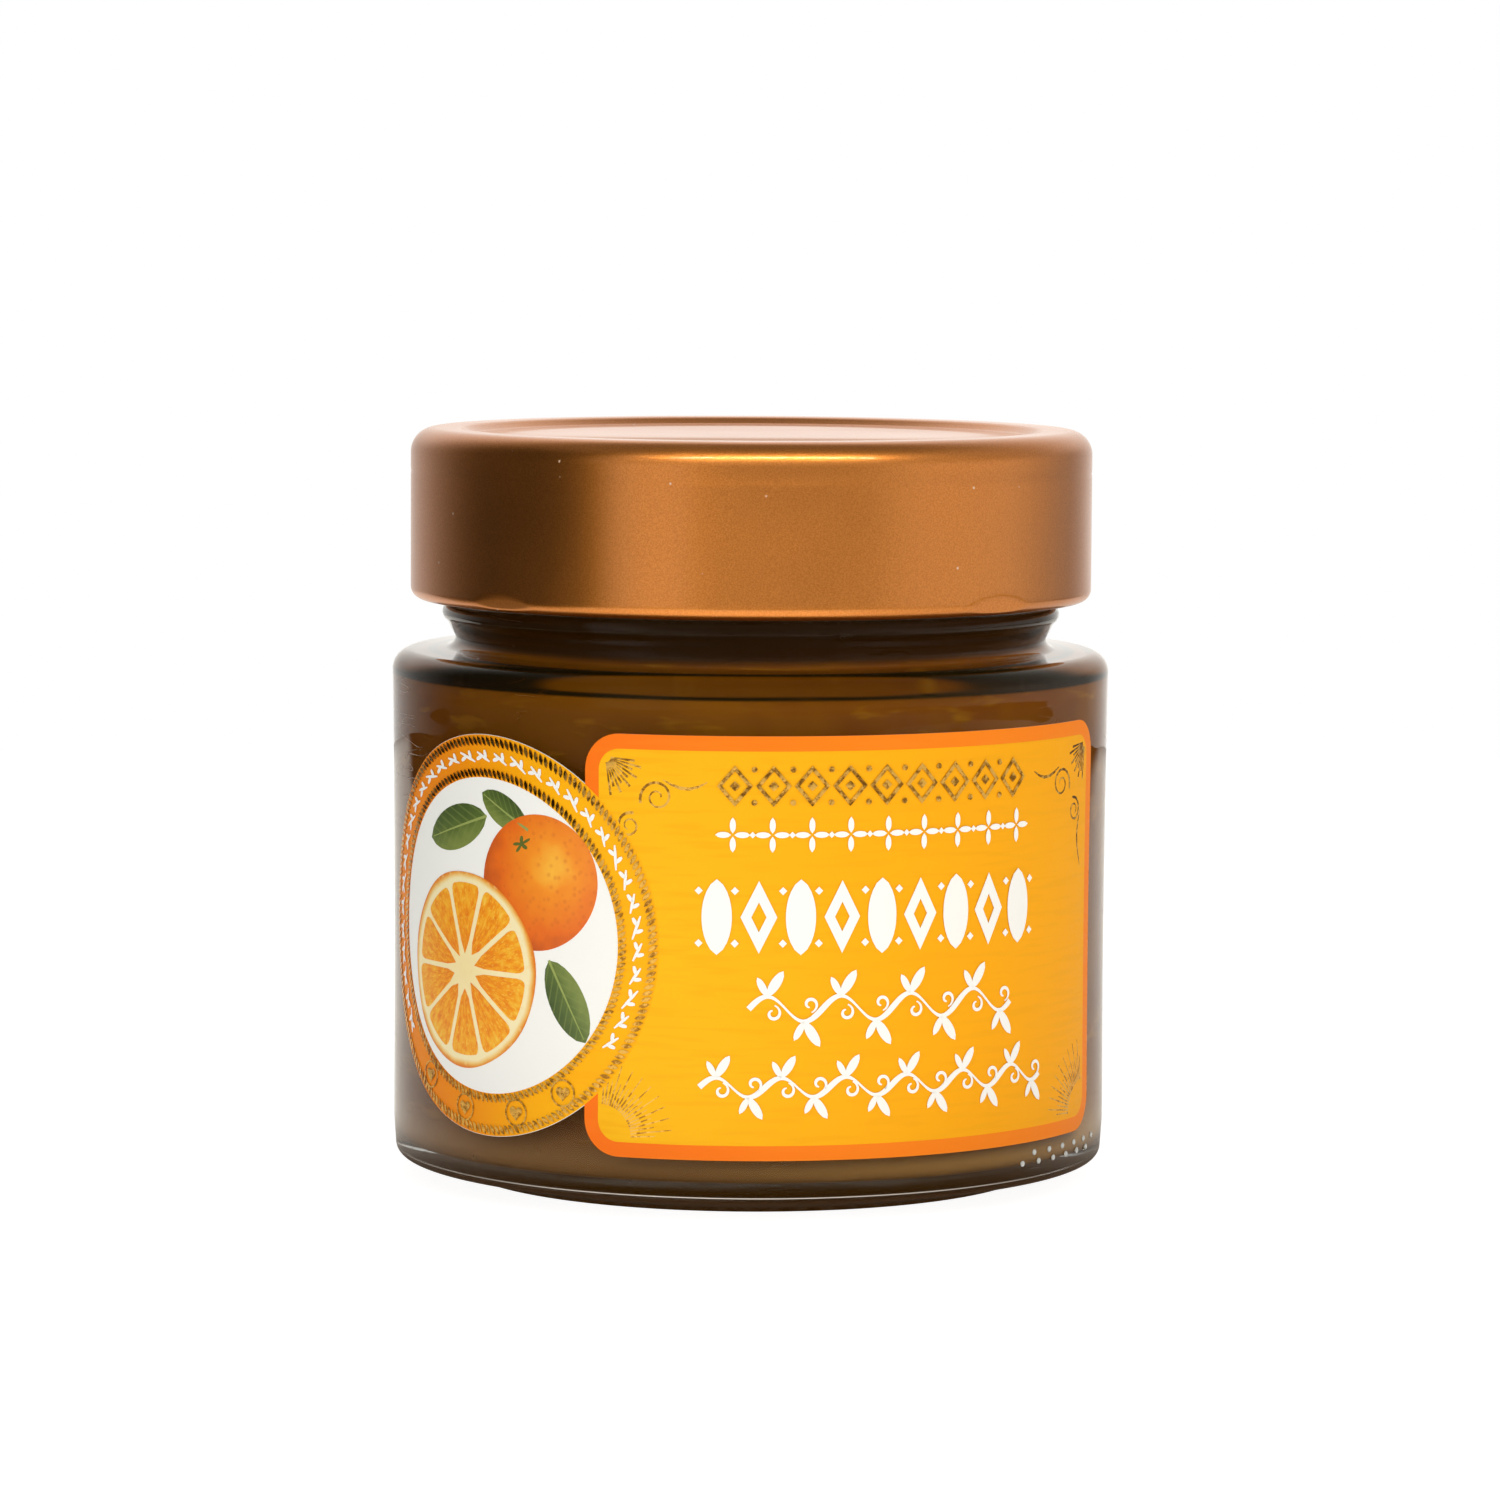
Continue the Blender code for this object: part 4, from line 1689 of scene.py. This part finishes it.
@dataclass
class Studio:
    """The pale floor, the lights round the jar and the camera of the photograph."""

    floor_radius: float = 0.5
    lens: float = 150.0
    camera_distance: float = 0.675
    camera_pitch: float = math.radians(5.28)
    camera_roll: float = 0.0055
    aim_height: float = 0.04525

    @staticmethod
    def _azimuth(sketch: NodeSketch, parts: bpy.types.Node) -> Socket:
        """Return the turn: 0 behind on the left, 0.5 at the front and 1 behind on the right."""
        turn = sketch.math("ARCTAN2", parts.outputs["X"], sketch.scaled(parts.outputs["Y"], -1.0))
        return sketch.math("ADD", sketch.scaled(turn, 0.5 / math.pi), 0.5)

    @staticmethod
    def _by_azimuth(sketch: NodeSketch, turn: Socket, levels: tuple[Point, ...]) -> Socket:
        """Return the grey level at a turn, from pairs of degrees and level."""
        stops = [((degrees + 180.0) / 360.0, (level, level, level, 1.0)) for degrees, level in levels]
        return sketch.ramp(turn, stops)

    def _world(self) -> None:
        """Light the studio from the walls round it, and show the camera plain white."""
        world = bpy.data.worlds.new("studio_walls")
        world.use_nodes = True
        world.node_tree.nodes.clear()
        sketch = NodeSketch(world.node_tree)
        view = sketch.add("ShaderNodeTexCoord").outputs["Generated"]
        parts = sketch.add("ShaderNodeSeparateXYZ", Vector=view)
        low = ((-180.0, 1.25), (-168.0, 0.90), (-151.0, 0.66), (-140.0, 0.50), (-128.0, 0.32), (-118.0, 0.16),
               (-108.0, 0.06), (-54.0, 0.06), (-44.0, 1.10), (-24.0, 1.15), (-16.0, 0.52), (36.0, 0.48),
               (58.0, 1.06), (95.0, 1.0), (112.0, 0.62), (136.0, 0.34), (146.0, 0.50), (158.0, 0.85),
               (180.0, 1.25))
        high = ((-180.0, 1.2), (-150.0, 0.9), (-135.0, 0.4), (-115.0, 0.05), (-60.0, 0.05), (-48.0, 0.75),
                (-20.0, 0.75), (60.0, 0.6), (120.0, 0.5), (140.0, 0.7), (180.0, 1.2))
        turn = self._azimuth(sketch, parts)
        climb = sketch.remap(parts.outputs["Z"], 0.10, 0.30)
        walls = sketch.blend(climb, self._by_azimuth(sketch, turn, low), self._by_azimuth(sketch, turn, high))
        rise = sketch.remap(parts.outputs["Z"], 0.62, 0.86)
        lit = sketch.blend(rise, walls, (0.25, 0.25, 0.25, 1.0))
        inside = sketch.blend(1.0, lit, (1.0, 0.975, 0.93, 1.0), "MULTIPLY")
        seen = sketch.add("ShaderNodeLightPath").outputs["Is Camera Ray"]
        light = sketch.add("ShaderNodeBackground", Color=sketch.blend(seen, inside, (1.0, 1.0, 1.0, 1.0)))
        end = sketch.add("ShaderNodeOutputWorld")
        sketch.feed(end.inputs["Surface"], light.outputs["Background"])
        bpy.context.scene.world = world

    def _floor(self) -> None:
        """Lay the pale floor, which lights the jar from near it, is dim further off at the left and has a
        painted shadow under the jar.
        """
        bm = bmesh.new()
        bmesh.ops.create_circle(bm, cap_ends=True, radius=self.floor_radius, segments=96)
        mesh = bpy.data.meshes.new("studio_floor")
        bm.to_mesh(mesh)
        bm.free()
        material, sketch, shader = new_material("floor_white")
        place = sketch.place()
        parts = sketch.add("ShaderNodeSeparateXYZ", Vector=place)
        reach = ((-180.0, 1.0), (-140.0, 1.0), (-115.0, 0.28), (-62.0, 0.28), (-44.0, 0.70), (130.0, 0.70),
                 (150.0, 1.0), (180.0, 1.0))
        level = ((-180.0, 0.6), (-60.0, 0.6), (-25.0, 1.05), (20.0, 1.1), (50.0, 0.6), (120.0, 0.35),
                 (180.0, 0.6))
        turn = self._azimuth(sketch, parts)
        edge = self._by_azimuth(sketch, turn, reach)
        away = sketch.length(place)
        share = sketch.scaled(away, 1.0 / self.floor_radius)
        lit = sketch.remap(sketch.math("SUBTRACT", share, edge), 0.10, -0.10)
        # painted shadow: reflections and bounced light see the floor dark brown under and just round the jar,
        # where it gives no glow
        near = sketch.remap(away, 0.032, 0.064)
        mirrored = sketch.blend(lit, (0.03, 0.03, 0.03, 1.0), (0.80, 0.78, 0.74, 1.0))
        mirrored = sketch.blend(near, (0.20, 0.15, 0.10, 1.0), mirrored)
        seen = sketch.add("ShaderNodeLightPath").outputs["Is Camera Ray"]
        sketch.feed(shader.inputs["Base Color"], sketch.blend(seen, mirrored, (0.4, 0.4, 0.4, 1.0)))
        warm = sketch.blend(1.0, self._by_azimuth(sketch, turn, level), (1.0, 0.97, 0.90, 1.0), "MULTIPLY")
        glow = sketch.blend(sketch.scaled(lit, near), BLACK, warm)
        sketch.feed(shader.inputs["Emission Color"], sketch.blend(seen, glow, (0.90, 0.90, 0.90, 1.0)))
        shader.inputs["Emission Strength"].default_value = 1.0
        shader.inputs["Roughness"].default_value = 0.9
        shader.inputs["Specular IOR Level"].default_value = 0.0
        mesh.materials.append(material)
        floor = bpy.data.objects.new("studio_floor", mesh)
        floor.location = (0.0, 0.0, -0.0002)
        bpy.context.scene.collection.objects.link(floor)

    def _camera(self) -> None:
        """Set up the camera at the photograph's distance, pitch and slight roll."""
        camera = bpy.data.cameras.new("photo_camera")
        camera.lens = self.lens
        camera.sensor_width = 36.0
        camera.clip_start = 0.01
        camera.clip_end = 20.0
        holder = bpy.data.objects.new("photo_camera", camera)
        back = self.camera_distance * math.cos(self.camera_pitch)
        rise = self.camera_distance * math.sin(self.camera_pitch)
        place = Matrix.Translation((0.0, -back, self.aim_height + rise))
        tilt = Matrix.Rotation(0.5 * math.pi - self.camera_pitch, 4, "X")
        holder.matrix_world = place @ tilt @ Matrix.Rotation(self.camera_roll, 4, "Z")
        bpy.context.scene.collection.objects.link(holder)
        bpy.context.scene.camera = holder

    def build(self) -> None:
        """Build the studio."""
        self._camera()
        self._floor()
        self._world()
        middle = (0.0, 0.0, self.aim_height)
        boxes = (
            SoftBox("lid_strip", (0.12, -0.78, 0.86), (0.0, 0.0, 0.08), 1.25, 0.030, 60.0, True, "lid_shell"),
            SoftBox("jelly_fill", (0.90, -0.62, 0.45), middle, 0.6, 0.6, 10.2, False, "marmalade_fill",
                    (0.88, 1.0, 0.74)),
            SoftBox("left_fill", (-0.95, -0.75, 0.45), middle, 0.6, 0.6, 3.1, False),
            SoftBox("right_fill", (0.95, -0.75, 0.50), middle, 0.6, 0.6, 2.2, False),
        )
        for box in boxes:
            box.build()
            LOG.info("light %s", box.name)
        bpy.context.scene.view_settings.view_transform = "Standard"


def main() -> None:
    """Build the jar's pieces in order, then the studio."""
    logging.basicConfig(level=logging.INFO, format="%(message)s")
    effects = EffectKit()
    jar = GlassJar()
    jar.build(GlassFinish(), effects)
    Marmalade(jar).build(MarmaladeFinish())
    Lid().build(LacquerFinish(), effects)
    Label(jar, LabelLayout()).build()
    Studio().build()


if __name__ == "__main__":
    main()
